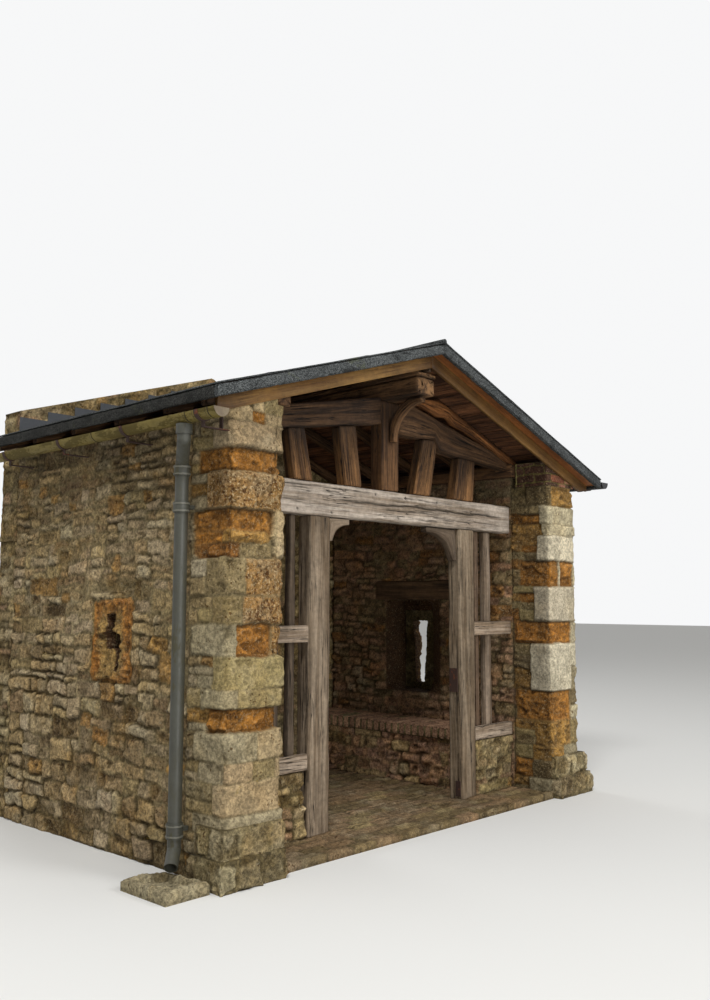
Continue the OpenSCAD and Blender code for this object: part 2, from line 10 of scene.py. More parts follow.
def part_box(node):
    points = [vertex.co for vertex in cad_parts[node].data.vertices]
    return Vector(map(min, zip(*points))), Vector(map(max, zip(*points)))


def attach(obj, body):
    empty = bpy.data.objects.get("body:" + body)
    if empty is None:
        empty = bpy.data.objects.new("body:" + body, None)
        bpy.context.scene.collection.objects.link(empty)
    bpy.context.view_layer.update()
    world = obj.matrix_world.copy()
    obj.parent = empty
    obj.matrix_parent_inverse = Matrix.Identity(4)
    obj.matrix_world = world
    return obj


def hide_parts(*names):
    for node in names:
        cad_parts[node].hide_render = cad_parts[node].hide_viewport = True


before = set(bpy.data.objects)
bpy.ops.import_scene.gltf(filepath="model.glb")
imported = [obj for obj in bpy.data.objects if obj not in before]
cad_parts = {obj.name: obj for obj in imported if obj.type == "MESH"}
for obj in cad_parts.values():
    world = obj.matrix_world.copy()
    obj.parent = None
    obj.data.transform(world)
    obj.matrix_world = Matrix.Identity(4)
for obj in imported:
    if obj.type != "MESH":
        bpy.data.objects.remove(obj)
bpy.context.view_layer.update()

# Sizes of the frame. Widths are from the middle, and depths run back from the timber front at y = 0
WEST, EAST = -1, 1
SIDES = {WEST: "west", EAST: "east"}
HALF_W, INNER_X = 1.990, 1.530
PIER_Y, REAR_Y, REAR_BACK = -0.385, 2.215, 2.465
FRAME_T = 0.135
POST_H, LINTEL_TOP = 2.235, 2.482
# Inner and outer side of each post
POST_IN = {WEST: 0.7355, EAST: 0.7755}
POST_OUT = {WEST: 0.9475, EAST: 0.9875}
# Height of the side lights' sills, inner sides of the benches and of their copings, and their front and top
SILL_Z, BENCH_X, COPING_X, BENCH_Y, BENCH_TOP = 0.485, 1.075, 1.06, 0.33, 0.455
RIDGE_X, RIDGE_Z = -0.085, 3.552
PITCH = {WEST: math.radians(17.4), EAST: math.radians(19.4)}
EAVE_X, VERGE_Y, BAND_T, BAND_H = 2.205, -0.535, 0.045, 0.084
# How far the rafters' tops and feet lie below the roof's upper surface, and the rafters' width
RAFTER_TOP, RAFTER_FOOT, RAFTER_W = 0.036, 0.131, 0.075
PLATE_FRONT, PLATE_BACK, PLATE_H = INNER_X - 0.04, 1.615, 0.080
BRICK_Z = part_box("east_brick_head")[0].z
BRICK_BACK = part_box("east_brick_head")[1].y
# Distance of the king post's side from the middle
KING_SIDE = {WEST: 0.191, EAST: 0.021}
# Widths of a slit, of the recess behind it and of its dressed stone, and that stone's back
SLIT_W, SPLAY_W, STONE_W = 0.185, 0.680, 0.475
STONE_BACK = HALF_W - 0.130
# Depth that the worn stone faces have to move in
INSET = 0.048


class Window:
    """A side wall's slit: its middle, sill and height, and the feet and heads of its stone and recess"""

    def __init__(self, mid, sill, tall, recess):
        self.mid, self.sill, self.tall, self.recess = mid, sill, tall, recess
        self.stone_foot, self.stone_head = sill - 0.1, sill + tall + 0.1
        self.foot, self.head = sill - 0.06, sill + tall + 0.2


WINDOW = {WEST: Window(0.850, 1.190, 0.400, 0.850), EAST: Window(1.320, 0.840, 0.610, 1.145)}


def roof_z(s, x, drop=0.0):
    """Height of the roof's upper surface at distance x from the centre line on side s, less a drop"""
    return RIDGE_Z - np.abs(x - s * RIDGE_X) * math.tan(PITCH[s]) - drop


def plate_seat(s):
    """Height of the bed under a wall plate"""
    return roof_z(s, PLATE_BACK, RAFTER_FOOT) - PLATE_H


def wall_top(s, x):
    """Height of a side wall's head, with the rebate for the wall plate"""
    return np.where(x >= PLATE_BACK, roof_z(s, x, RAFTER_FOOT), plate_seat(s))


def linear(rgb):
    """A screen colour as the linear numbers that shaders use"""
    return tuple(((c + 0.055) / 1.055) ** 2.4 if c > 0.04045 else c / 12.92 for c in rgb)


def screen(r, g, b):
    """A screen colour as a shader socket takes it"""
    return linear((r, g, b)) + (1.0,)


# Noise on plain arrays
TABLES = [np.random.default_rng(k).random((128, 128)) * 2 - 1 for k in range(12)]


def noise2(a, b, size, seed=0):
    """Smooth noise from -1 to 1 whose bumps are about size across"""
    table = TABLES[seed % 12]
    x = a / size + 13.7 * seed
    y = b / size + 7.3 * seed
    x0, y0 = np.floor(x).astype(int), np.floor(y).astype(int)
    fx, fy = x - x0, y - y0
    fx, fy = fx * fx * (3 - 2 * fx), fy * fy * (3 - 2 * fy)
    x0, y0, x1, y1 = x0 & 127, y0 & 127, (x0 + 1) & 127, (y0 + 1) & 127
    low = table[x0, y0] * (1 - fx) + table[x1, y0] * fx
    high = table[x0, y1] * (1 - fx) + table[x1, y1] * fx
    return low * (1 - fy) + high * fy


def fractal(a, b, size, seed=0, octaves=3, gain=0.55):
    """Noise from -1 to 1 with finer and finer bumps on it"""
    total, weight, share = 0, 0, 1.0
    for k in range(octaves):
        total = total + noise2(a, b, size / 2 ** k, seed + k) * share
        weight += share
        share *= gain
    return total / weight


def smooth(x, low, high):
    """Eases from 0 at low to 1 at high"""
    t = np.clip((x - low) / (high - low), 0, 1)
    return t * t * (3 - 2 * t)


def soften(rows, times):
    """Averages each value of a grid with its neighbours, several times over"""
    for _ in range(times):
        p = np.pad(rows, 1, mode="edge")
        rows = (rows + p[:-2, 1:-1] + p[2:, 1:-1] + p[1:-1, :-2] + p[1:-1, 2:]) / 5
    return rows


# Meshes
def new_mesh(name, points, faces, material, colours=None, vectors=None, flat=False):
    """A mesh object from arrays; colours and vectors are attributes, one row for each point"""
    mesh = bpy.data.meshes.new(name)
    mesh.from_pydata(points.tolist(), [], faces)
    mesh.update()
    for key, rows in (colours or {}).items():
        layer = mesh.attributes.new(key, "FLOAT_COLOR", "POINT")
        full = np.ones((len(points), 4), np.float32)
        full[:, :rows.shape[1]] = rows
        layer.data.foreach_set("color", full.ravel())
    for key, rows in (vectors or {}).items():
        layer = mesh.attributes.new(key, "FLOAT_VECTOR", "POINT")
        layer.data.foreach_set("vector", rows.astype(np.float32).ravel())
    if not flat:
        mesh.polygons.foreach_set("use_smooth", [True] * len(mesh.polygons))
    mesh.materials.append(material)
    return placed(name, mesh)


def placed(name, data):
    """A mesh, lamp or camera put into the scene"""
    thing = bpy.data.objects.new(name, data)
    bpy.context.scene.collection.objects.link(thing)
    return thing


def keep(thing, slot, *nodes):
    """Rides a finished piece on the porch and hides the nodes it stands for; slot, the name of its finish, is
    not used
    """
    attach(thing, "root")
    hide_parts(*nodes)
    return thing


def join(name, things):
    """One piece from several that share a material"""
    for other in bpy.context.selected_objects:
        other.select_set(False)
    for thing in things:
        thing.select_set(True)
    bpy.context.view_layer.objects.active = things[0]
    bpy.ops.object.join()
    things[0].name = name
    things[0].data.name = name
    return things[0]


# Node trees
class Wire:
    """A value in a node tree; a sum or product of wires adds the nodes that work it out"""

    def __init__(self, net, socket):
        self.net, self.socket = net, socket

    def __add__(self, other):
        return self.net.math("ADD", self, other)

    def __sub__(self, other):
        return self.net.math("SUBTRACT", self, other)

    def __rsub__(self, other):
        return self.net.math("SUBTRACT", other, self)

    def __mul__(self, other):
        return self.net.math("MULTIPLY", self, other)

    __radd__, __rmul__ = __add__, __mul__


class Part:
    """One node of a tree: part[key] reads an output as a wire, and part[key] = value sets an input"""

    def __init__(self, net, node):
        self.net, self.node = net, node

    def __getitem__(self, key):
        return Wire(self.net, self.node.outputs[key])

    def __setitem__(self, key, value):
        if isinstance(value, Wire):
            self.net.tree.links.new(value.socket, self.node.inputs[key])
        else:
            self.node.inputs[key].default_value = value


class Net:
    """Short words for building a node tree"""

    def __init__(self, tree):
        self.tree = tree

    def node(self, kind, settings=None, *first, **named):
        """A new node with its settings, its first inputs in their order and others by name"""
        part = Part(self, self.tree.nodes.new(kind if "Node" in kind else "ShaderNode" + kind))
        for key, value in (settings or {}).items():
            setattr(part.node, key, value)
        for k, value in enumerate(first):
            part[k] = value
        for key, value in named.items():
            part[key.replace("_", " ")] = value
        return part

    def group(self, tree, **named):
        return self.node("Group", {"node_tree": tree}, **named)

    def result(self, **named):
        """Ends a node group with its outputs"""
        self.node("NodeGroupOutput", **named)
        return self.tree

    def math(self, word, a, b=0.0):
        return self.node("Math", {"operation": word}, a, b)[0]

    def scaled(self, vector, factor):
        return self.node("VectorMath", {"operation": "SCALE"}, vector, Scale=factor)[0]

    def mix(self, share, a, b, word="MIX"):
        return self.node("MixRGB", {"blend_type": word}, share, a, b)[0]

    def cover(self, colour, tone, share, tree, **named):
        """A colour with a tone laid over it where a group's mask is"""
        return self.mix(self.group(tree, **named)["Mask"] * share, colour, tone)

    def noise(self, where, scale, detail=3.0, rough=0.55, twist=0.0):
        return self.node("TexNoise", Vector=where, Scale=scale, Detail=detail, Roughness=rough,
                         Distortion=twist)[0]

    def step(self, value, low, high, to_low=0.0, to_high=1.0):
        """Eases a value from to_low at low to to_high at high"""
        settings = {"interpolation_type": "SMOOTHSTEP"}
        return self.node("MapRange", settings, value, low, high, to_low, to_high)[0]

    def stretch(self, where, x, y, z):
        return self.node("Mapping", Vector=where, Scale=(x, y, z))[0]

    def attribute(self, name, output="Color"):
        return self.node("Attribute", {"attribute_name": name})[output]


# Kinds of the groups' sockets that aren't plain numbers
KINDS = {"Vector": "Vector", "Color": "Color", "Geometry": "Geometry", "Across": "Int", "Along": "Int",
         "Corner": "Vector", "Dark Tint": "Color", "Light Tint": "Color", "Seed": "Int",
         "Material": "Material"}


def node_group(name, ins, outs, family="Shader"):
    """An empty node group with its named sockets, and its inputs"""
    tree = bpy.data.node_groups.new(name, family + "NodeTree")
    for labels, way in ((ins, "INPUT"), (outs, "OUTPUT")):
        for label in labels.split(", "):
            kind = KINDS.get(label, "Float")
            tree.interface.new_socket(label, in_out=way, socket_type="NodeSocket" + kind)
    net = Net(tree)
    return net, net.node("NodeGroupInput")


def make_mottle():
    """Broad and fine patches of lighter and darker colour"""
    net, given = node_group("mottle", "Vector, Color, Scale, Depth", "Color, Fine")
    broad = net.noise(given["Vector"], given["Scale"], 4.0, 0.6)
    fine = net.noise(given["Vector"], given["Scale"] * 7.0, 5.0, 0.65)
    level = (net.step(broad * 0.5 + fine * 0.5, 0.3, 0.7) - 0.5) * given["Depth"]
    return net.result(Color=net.scaled(given["Color"], level + 1.0), Fine=fine)


def make_pits():
    """Small worn holes: a mask that is 1 in a hole"""
    net, given = node_group("pits", "Vector, Scale, Cover", "Mask")
    bend = net.noise(given["Vector"], given["Scale"] * 0.35, 4.0, 0.7)
    cell = net.node("TexVoronoi", {"feature": "SMOOTH_F1"}, Vector=given["Vector"], Scale=given["Scale"],
                    Smoothness=0.35, Randomness=1.0)
    near = cell["Distance"] + (bend - 0.5) * 1.6
    return net.result(Mask=net.step(given["Cover"] * 0.55 - near, -0.06, 0.1))


def make_growth():
    """Lichen or moss: patches that break up at their edges"""
    net, given = node_group("growth", "Vector, Scale, Cover", "Mask")
    patch = net.noise(given["Vector"], given["Scale"], 4.0, 0.6, 0.4)
    crumb = net.noise(given["Vector"], given["Scale"] * 12.0, 3.0)
    edge = 0.82 - given["Cover"] * 0.5
    return net.result(Mask=net.step(patch * 0.75 + crumb * 0.25 - edge, 0.0, 0.06))


def make_grain():
    """Long streaks, fine lines and drying cracks along the first axis of a timber's own coordinates"""
    net, given = node_group("wood_grain", "Vector, Width", "Streak, Line, Crack")
    where = net.scaled(given["Vector"], given["Width"])

    def lines(along, across, detail, rough=0.55, twist=0.0):
        return net.noise(net.stretch(where, along, across, across), 1.0, detail, rough, twist)

    streak = lines(0.9, 13, 3.0, 0.6, 0.6) * 0.5 + lines(1.6, 38, 5.0, 0.62, 0.5) * 0.5
    gap = net.math("ABSOLUTE", lines(1.5, 55, 2.0, 0.5, 0.4) - 0.5)
    crack = net.step(gap, 0.022, 0.004) * net.step(lines(2.0, 5, 2.0), 0.42, 0.6)
    return net.result(Streak=streak, Line=lines(5.0, 210, 4.0, 0.7, 0.2), Crack=crack)


MOTTLE, PITS, GROWTH, GRAIN = make_mottle(), make_pits(), make_growth(), make_grain()


# Materials
def start_material(name, rough=0.85, gloss=0.3):
    """A material with its tools, its surface shader and the object's own coordinates"""
    made = bpy.data.materials.new(name)
    made.use_nodes = True
    made.node_tree.nodes.clear()
    net = Net(made.node_tree)
    skin = net.node("BsdfPrincipled", Roughness=rough, Specular_IOR_Level=gloss)
    net.node("OutputMaterial", Surface=skin[0])
    return made, net, skin, net.node("TexCoord")["Object"]


def relief(net, skin, height, depth):
    """Bumps on a surface from a height"""
    skin["Normal"] = net.node("Bump", Height=height, Distance=depth, Strength=1.0)[0]


def stone_material(name, speck, speck_share, lichen, moss):
    """Stone with its mortar; the mesh says each point's colour, mortar, pitting and damp"""
    made, net, skin, where = start_material(name, 0.9, 0.2)
    makeup = net.node("SeparateColor", Color=net.attribute("makeup"))
    mortar, pitted, damp = (makeup[k] for k in range(3))
    # The tint attribute brings in the stonework's painted shade and highlight
    mottle = net.group(MOTTLE, Vector=where, Color=net.attribute("tint"), Scale=9.0, Depth=0.5)
    crumbly = net.noise(where, 48.0, 7.0, 0.78)
    crust = net.step(damp, 0.2, 0.3)
    hollow = net.step(net.noise(where, 34.0, 5.0, 0.7), 0.36, 0.50, 0.58, 1.0)
    hollow = hollow + (1.0 - hollow) * ((1.0 - crust) * 0.6)
    grain = (1.0 + net.step(crumbly, 0.40, 0.60, -0.34, 0.40) * (0.88 + crust * 0.2)) * hollow
    grain = net.node("CombineColor", Red=grain, Green=grain, Blue=grain)[0]
    colour = net.mix(1.0, mottle["Color"], grain, "MULTIPLY")
    colour = net.cover(colour, speck, speck_share, GROWTH, Vector=where, Scale=22.0,
                       Cover=0.34 + pitted * 0.2)
    holes = net.group(PITS, Vector=where, Scale=40.0, Cover=pitted * 0.8 - 0.12)["Mask"]
    # Pits are darkened: painted shade in the holes
    dark = net.mix(1.0, colour, screen(0.70, 0.62, 0.54), "MULTIPLY")
    colour = net.mix(holes * (1.0 - mortar * 0.7), colour, dark)
    salt = net.step(net.noise(where, 75.0, 3.0, 0.7), 0.54, 0.66)
    pepper = net.step(net.noise(where, 62.0, 3.0, 0.7, 0.5), 0.44, 0.34)
    colour = net.mix(salt * (pitted * 0.75), colour, screen(0.77, 0.69, 0.54))
    colour = net.mix(pepper * (pitted * 0.85), colour, screen(0.28, 0.19, 0.10))
    colour = net.cover(colour, screen(0.52, 0.43, 0.18), 0.5, GROWTH, Vector=where, Scale=6.5, Cover=lichen)
    colour = net.cover(colour, screen(0.66, 0.63, 0.53), 0.45, GROWTH, Vector=net.stretch(where, 1, 1, 1.3),
                       Scale=10.0, Cover=lichen + 0.03)
    colour = net.cover(colour, screen(0.3, 0.3, 0.14), 0.8, GROWTH, Vector=where, Scale=7.0,
                       Cover=damp * moss)
    skin["Base Color"] = colour
    skin["Roughness"] = net.step(mottle["Fine"], 0.3, 0.7, 0.8, 0.98)
    relief(net, skin, mottle["Fine"] * 0.6 + crumbly * 0.9 - holes * 0.4, 0.0125)
    return made


def wood_material(name, pale, dark, crack_tone, width=1.0, rough=0.8, gloss=0.25, wear=0.4, depth=0.0025):
    """Sawn or cleft wood that follows the grain coordinates of its own timber"""
    made, net, skin, where = start_material(name, rough, gloss)
    grain = net.group(GRAIN, Vector=net.attribute("grain", "Vector"), Width=width)
    streak = net.step(grain["Streak"], 0.38, 0.62)
    colour = net.mix(streak, dark, pale)
    line = net.step(grain["Line"], 0.38, 0.62)
    colour = net.mix(line * wear, colour, net.mix(1.0, colour, (0.5, 0.5, 0.5, 1), "MULTIPLY"))
    colour = net.mix(1.0, colour, net.attribute("tint"), "MULTIPLY")
    mottle = net.group(MOTTLE, Vector=where, Color=colour, Scale=4.0, Depth=0.6)
    # Cracks take a near-black colour: painted shade in the drying cracks
    skin["Base Color"] = net.mix(grain["Crack"], mottle["Color"], crack_tone)
    skin["Roughness"] = net.step(grain["Line"], 0.3, 0.7, rough - 0.12, rough + 0.1)
    relief(net, skin, grain["Line"] * 0.6 + streak * 0.3 - grain["Crack"] * 1.6, depth)
    return made


def felt_material():
    """Mineral felt: pale and dark granules with worn, damp patches"""
    made, net, skin, where = start_material("mineral_felt", 0.92, 0.15)
    chips = net.node("TexVoronoi", Vector=where, Scale=260.0)
    tone = net.node("SeparateColor", Color=chips["Color"])[0]
    colour = net.mix(net.step(tone, 0.3, 0.85), screen(0.15, 0.16, 0.16), screen(0.37, 0.38, 0.38))
    colour = net.mix(1.0, colour, net.attribute("tint"), "MULTIPLY")
    mottle = net.group(MOTTLE, Vector=where, Color=colour, Scale=6.0, Depth=0.7)
    colour = net.cover(mottle["Color"], screen(0.09, 0.09, 0.085), 0.75, GROWTH,
                       Vector=net.stretch(where, 1, 1, 2), Scale=5.0, Cover=0.5)
    skin["Base Color"] = net.cover(colour, screen(0.3, 0.31, 0.2), 0.4, GROWTH, Vector=where, Scale=3.5,
                                   Cover=0.42)
    relief(net, skin, tone + mottle["Fine"], 0.0015)
    return made


def plastic_material(name, base, dirt, cover, rough, stretch=(1, 1, 0.25)):
    """Moulded plastic that has gone dull, with dirt or algae in patches"""
    made, net, skin, where = start_material(name, rough, 0.35)
    mottle = net.group(MOTTLE, Vector=where, Color=base, Scale=8.0, Depth=0.3)
    stain = net.group(GROWTH, Vector=net.stretch(where, *stretch), Scale=9.0, Cover=cover)["Mask"]
    film = net.step(net.noise(net.stretch(where, *stretch), 30.0, 4.0), 0.48, 0.75, 0.0, 0.6)
    share = net.math("MAXIMUM", stain, film)
    skin["Base Color"] = net.mix(share * 0.8, mottle["Color"], dirt)
    skin["Roughness"] = share * 0.25 + rough
    relief(net, skin, mottle["Fine"] + stain, 0.0006)
    return made


def metal_material(name, base, other, cover, rough):
    """Weathered lead or rusted iron"""
    made, net, skin, where = start_material(name, rough, 0.4)
    mottle = net.group(MOTTLE, Vector=where, Color=base, Scale=14.0, Depth=0.5)
    bloom = net.group(GROWTH, Vector=where, Scale=16.0, Cover=cover)["Mask"]
    skin["Base Color"] = net.mix(bloom, mottle["Color"], other)
    skin["Roughness"] = net.step(mottle["Fine"], 0.3, 0.7, rough - 0.15, rough + 0.1)
    relief(net, skin, mottle["Fine"] + bloom, 0.0012)
    return made


def mark(made, axis, places, half, shade, share):
    """Tones a material where its own coordinate along one axis is near any of some places"""
    net = Net(made.node_tree)
    kinds = {node.type: Part(net, node) for node in made.node_tree.nodes}
    skin, where = kinds["BSDF_PRINCIPLED"], kinds["TEX_COORD"]["Object"]
    wave = (net.noise(where, 60.0, 4.0, 0.7) - 0.5) * (half * 2.5)
    at = net.node("SeparateXYZ", Vector=where)[axis] + wave
    near = 0.0
    for place in places:
        near = net.math("MAXIMUM", net.step(net.math("ABSOLUTE", at - place), half, half * 0.5), near)
    colour = Wire(net, skin.node.inputs["Base Color"].links[0].from_socket)
    skin["Base Color"] = net.mix(near * share, colour, shade)


RUBBLE = stone_material("limestone_and_ironstone", screen(0.74, 0.67, 0.52), 0.38, 0.33, 0.9)
ORANGE = stone_material("worn_ironstone", screen(0.70, 0.52, 0.26), 0.5, 0.26, 0.9)
BRICK = stone_material("old_brick", screen(0.60, 0.48, 0.40), 0.3, 0.2, 1.0)
SILVER_OAK = wood_material("silver_oak", screen(0.71, 0.66, 0.60), screen(0.50, 0.44, 0.37),
                           screen(0.10, 0.08, 0.06), wear=0.6, depth=0.004)
DARK_OAK = wood_material("dark_oak", screen(0.43, 0.33, 0.23), screen(0.20, 0.145, 0.10),
                         screen(0.03, 0.022, 0.016), wear=0.75, depth=0.004)
SOFTWOOD = wood_material("new_softwood", screen(0.72, 0.55, 0.31), screen(0.58, 0.41, 0.2),
                         screen(0.3, 0.19, 0.08), width=1.3, rough=0.6, gloss=0.35, wear=0.4, depth=0.001)
FELT = felt_material()
ALGAE = plastic_material("gutter_with_algae", screen(0.43, 0.375, 0.16), screen(0.27, 0.225, 0.05), 0.72,
                         0.55, (1, 0.35, 1))
BLACK = plastic_material("black_gutter", screen(0.09, 0.09, 0.1), screen(0.2, 0.2, 0.19), 0.3, 0.35)
GREY = plastic_material("grey_pipe", screen(0.255, 0.255, 0.225), screen(0.24, 0.225, 0.15), 0.5, 0.42)
LEAD = metal_material("weathered_lead", screen(0.20, 0.21, 0.225), screen(0.31, 0.32, 0.34), 0.4, 0.6)
IRON = metal_material("rusty_iron", screen(0.20, 0.13, 0.10), screen(0.40, 0.21, 0.10), 0.5, 0.8)
# Dirt in the gutter's joints and pale rims of its end and of the pipe's sockets
mark(ALGAE, 1, (-0.470, -0.448, -0.345, -0.323, -0.256, -0.234, 0.760, 0.782), 0.0045,
     screen(0.12, 0.10, 0.06), 0.85)
mark(ALGAE, 1, (-0.5375,), 0.007, screen(0.43, 0.38, 0.34), 0.7)
mark(GREY, 2, (2.405, 2.4486, 2.180, 2.2236, 0.2653, 0.3247), 0.006, screen(0.50, 0.49, 0.44), 0.5)

# Stonework. Each sort of stone: screen colour, how pitted, how rough its face is in metres
LAYERED = ("orange", "rust", "ochre", "ruddy")
SORTS = {
    "cream": ((0.80, 0.755, 0.65), 0.20, 0.0042),
    "buff": ((0.67, 0.585, 0.44), 0.30, 0.0058),
    "pale": ((0.72, 0.67, 0.55), 0.30, 0.0055),
    "grey": ((0.625, 0.575, 0.455), 0.30, 0.0070),
    "tan": ((0.565, 0.495, 0.345), 0.45, 0.0085),
    "pitted": ((0.60, 0.455, 0.26), 0.90, 0.0100),
    "honey": ((0.63, 0.56, 0.38), 0.30, 0.0060),
    "ochre": ((0.62, 0.47, 0.24), 0.45, 0.0080),
    "orange": ((0.66, 0.45, 0.19), 0.40, 0.0095),
    "rust": ((0.55, 0.37, 0.16), 0.50, 0.0100),
    "brown": ((0.435, 0.37, 0.25), 0.40, 0.0085),
    "moss": ((0.55, 0.48, 0.32), 0.40, 0.0060),
    "peat": ((0.57, 0.43, 0.34), 0.40, 0.0080),
    "ruddy": ((0.61, 0.46, 0.34), 0.40, 0.0080),
    "brick": ((0.47, 0.28, 0.20), 0.3, 0.0028),
    "pink": ((0.55, 0.38, 0.30), 0.3, 0.0028),
    "dull": ((0.27, 0.185, 0.14), 0.4, 0.0030),
    "floor": ((0.50, 0.41, 0.30), 0.5, 0.0030),
}
MORTAR, POINTING = (0.485, 0.435, 0.31), (0.53, 0.475, 0.35)
# Greatest and least height and length of rough stones before and after they are split
ROUGH_SIZE = (0.125, 0.05, 0.33, 0.11)


def split_field(rng, u0, u1, z0, z1, size, stones):
    """Cuts a field into rough stones, wider than high"""
    w, h = u1 - u0, z1 - z0
    high, low, long, short = size
    if h > high or (h > 2 * low and w < 2.2 * h and rng.random() < 0.5):
        at = z0 + h * rng.uniform(0.36, 0.64)
        split_field(rng, u0, u1, z0, at, size, stones)
        split_field(rng, u0, u1, at, z1, size, stones)
    elif w > long or (w > 2 * short and rng.random() < 0.55):
        at = u0 + w * rng.uniform(0.3, 0.7)
        split_field(rng, u0, at, z0, z1, size, stones)
        split_field(rng, at, u1, z0, z1, size, stones)
    else:
        stones.append((u0, u1, z0, z1))


def rubble(seed, u0, u1, z0, z1, mix, size=ROUGH_SIZE, band=0.21, lift=(-0.014, 0.004)):
    """Random stones in rough courses; mix gives the sorts and their shares"""
    rng = np.random.default_rng(seed)
    cells, z = [], z0
    while z < z1 - 1e-6:
        top = min(z1, z + band * rng.uniform(0.75, 1.25))
        if z1 - top < band * 0.5:
            top = z1
        u = u0
        while u < u1 - 1e-6:
            end = min(u1, u + rng.uniform(0.5, 1.1))
            if u1 - end < 0.3:
                end = u1
            split_field(rng, u, end, z, top, size, cells)
            u = end
        z = top
    names, shares = list(mix), np.array(list(mix.values()), float)
    picks = rng.choice(len(names), len(cells), p=shares / shares.sum())
    return [cell + (names[k], rng.uniform(*lift)) for cell, k in zip(cells, picks)]


def courses(rows, u_corner, u_low, u_high, seed, mix):
    """Dressed rows of named stones round a pier's corner, with rubble in what is left on both sides"""
    stones = []
    for k, (z0, z1, row) in enumerate(rows):
        for start, end, sort, lift, *own in row:
            low, high = own if own else (z0, z1)
            stones.append((u_corner + start, u_corner + end, low, high, sort, lift / 1000))
        left = u_corner + min(s[0] for s in row)
        right = u_corner + max(s[1] for s in row)
        if left - u_low > 0.05:
            stones += rubble(seed + k, u_low, left, z0, z1, mix)
        if u_high - right > 0.05:
            stones += rubble(seed + 50 + k, right, u_high, z0, z1, mix)
    return stones


def past_box(a, b):
    """Distance outside a box, less than 0 inside it, from how far a point is past two of its sides"""
    return np.hypot(np.maximum(a, 0), np.maximum(b, 0)) + np.minimum(np.maximum(a, b), 0)


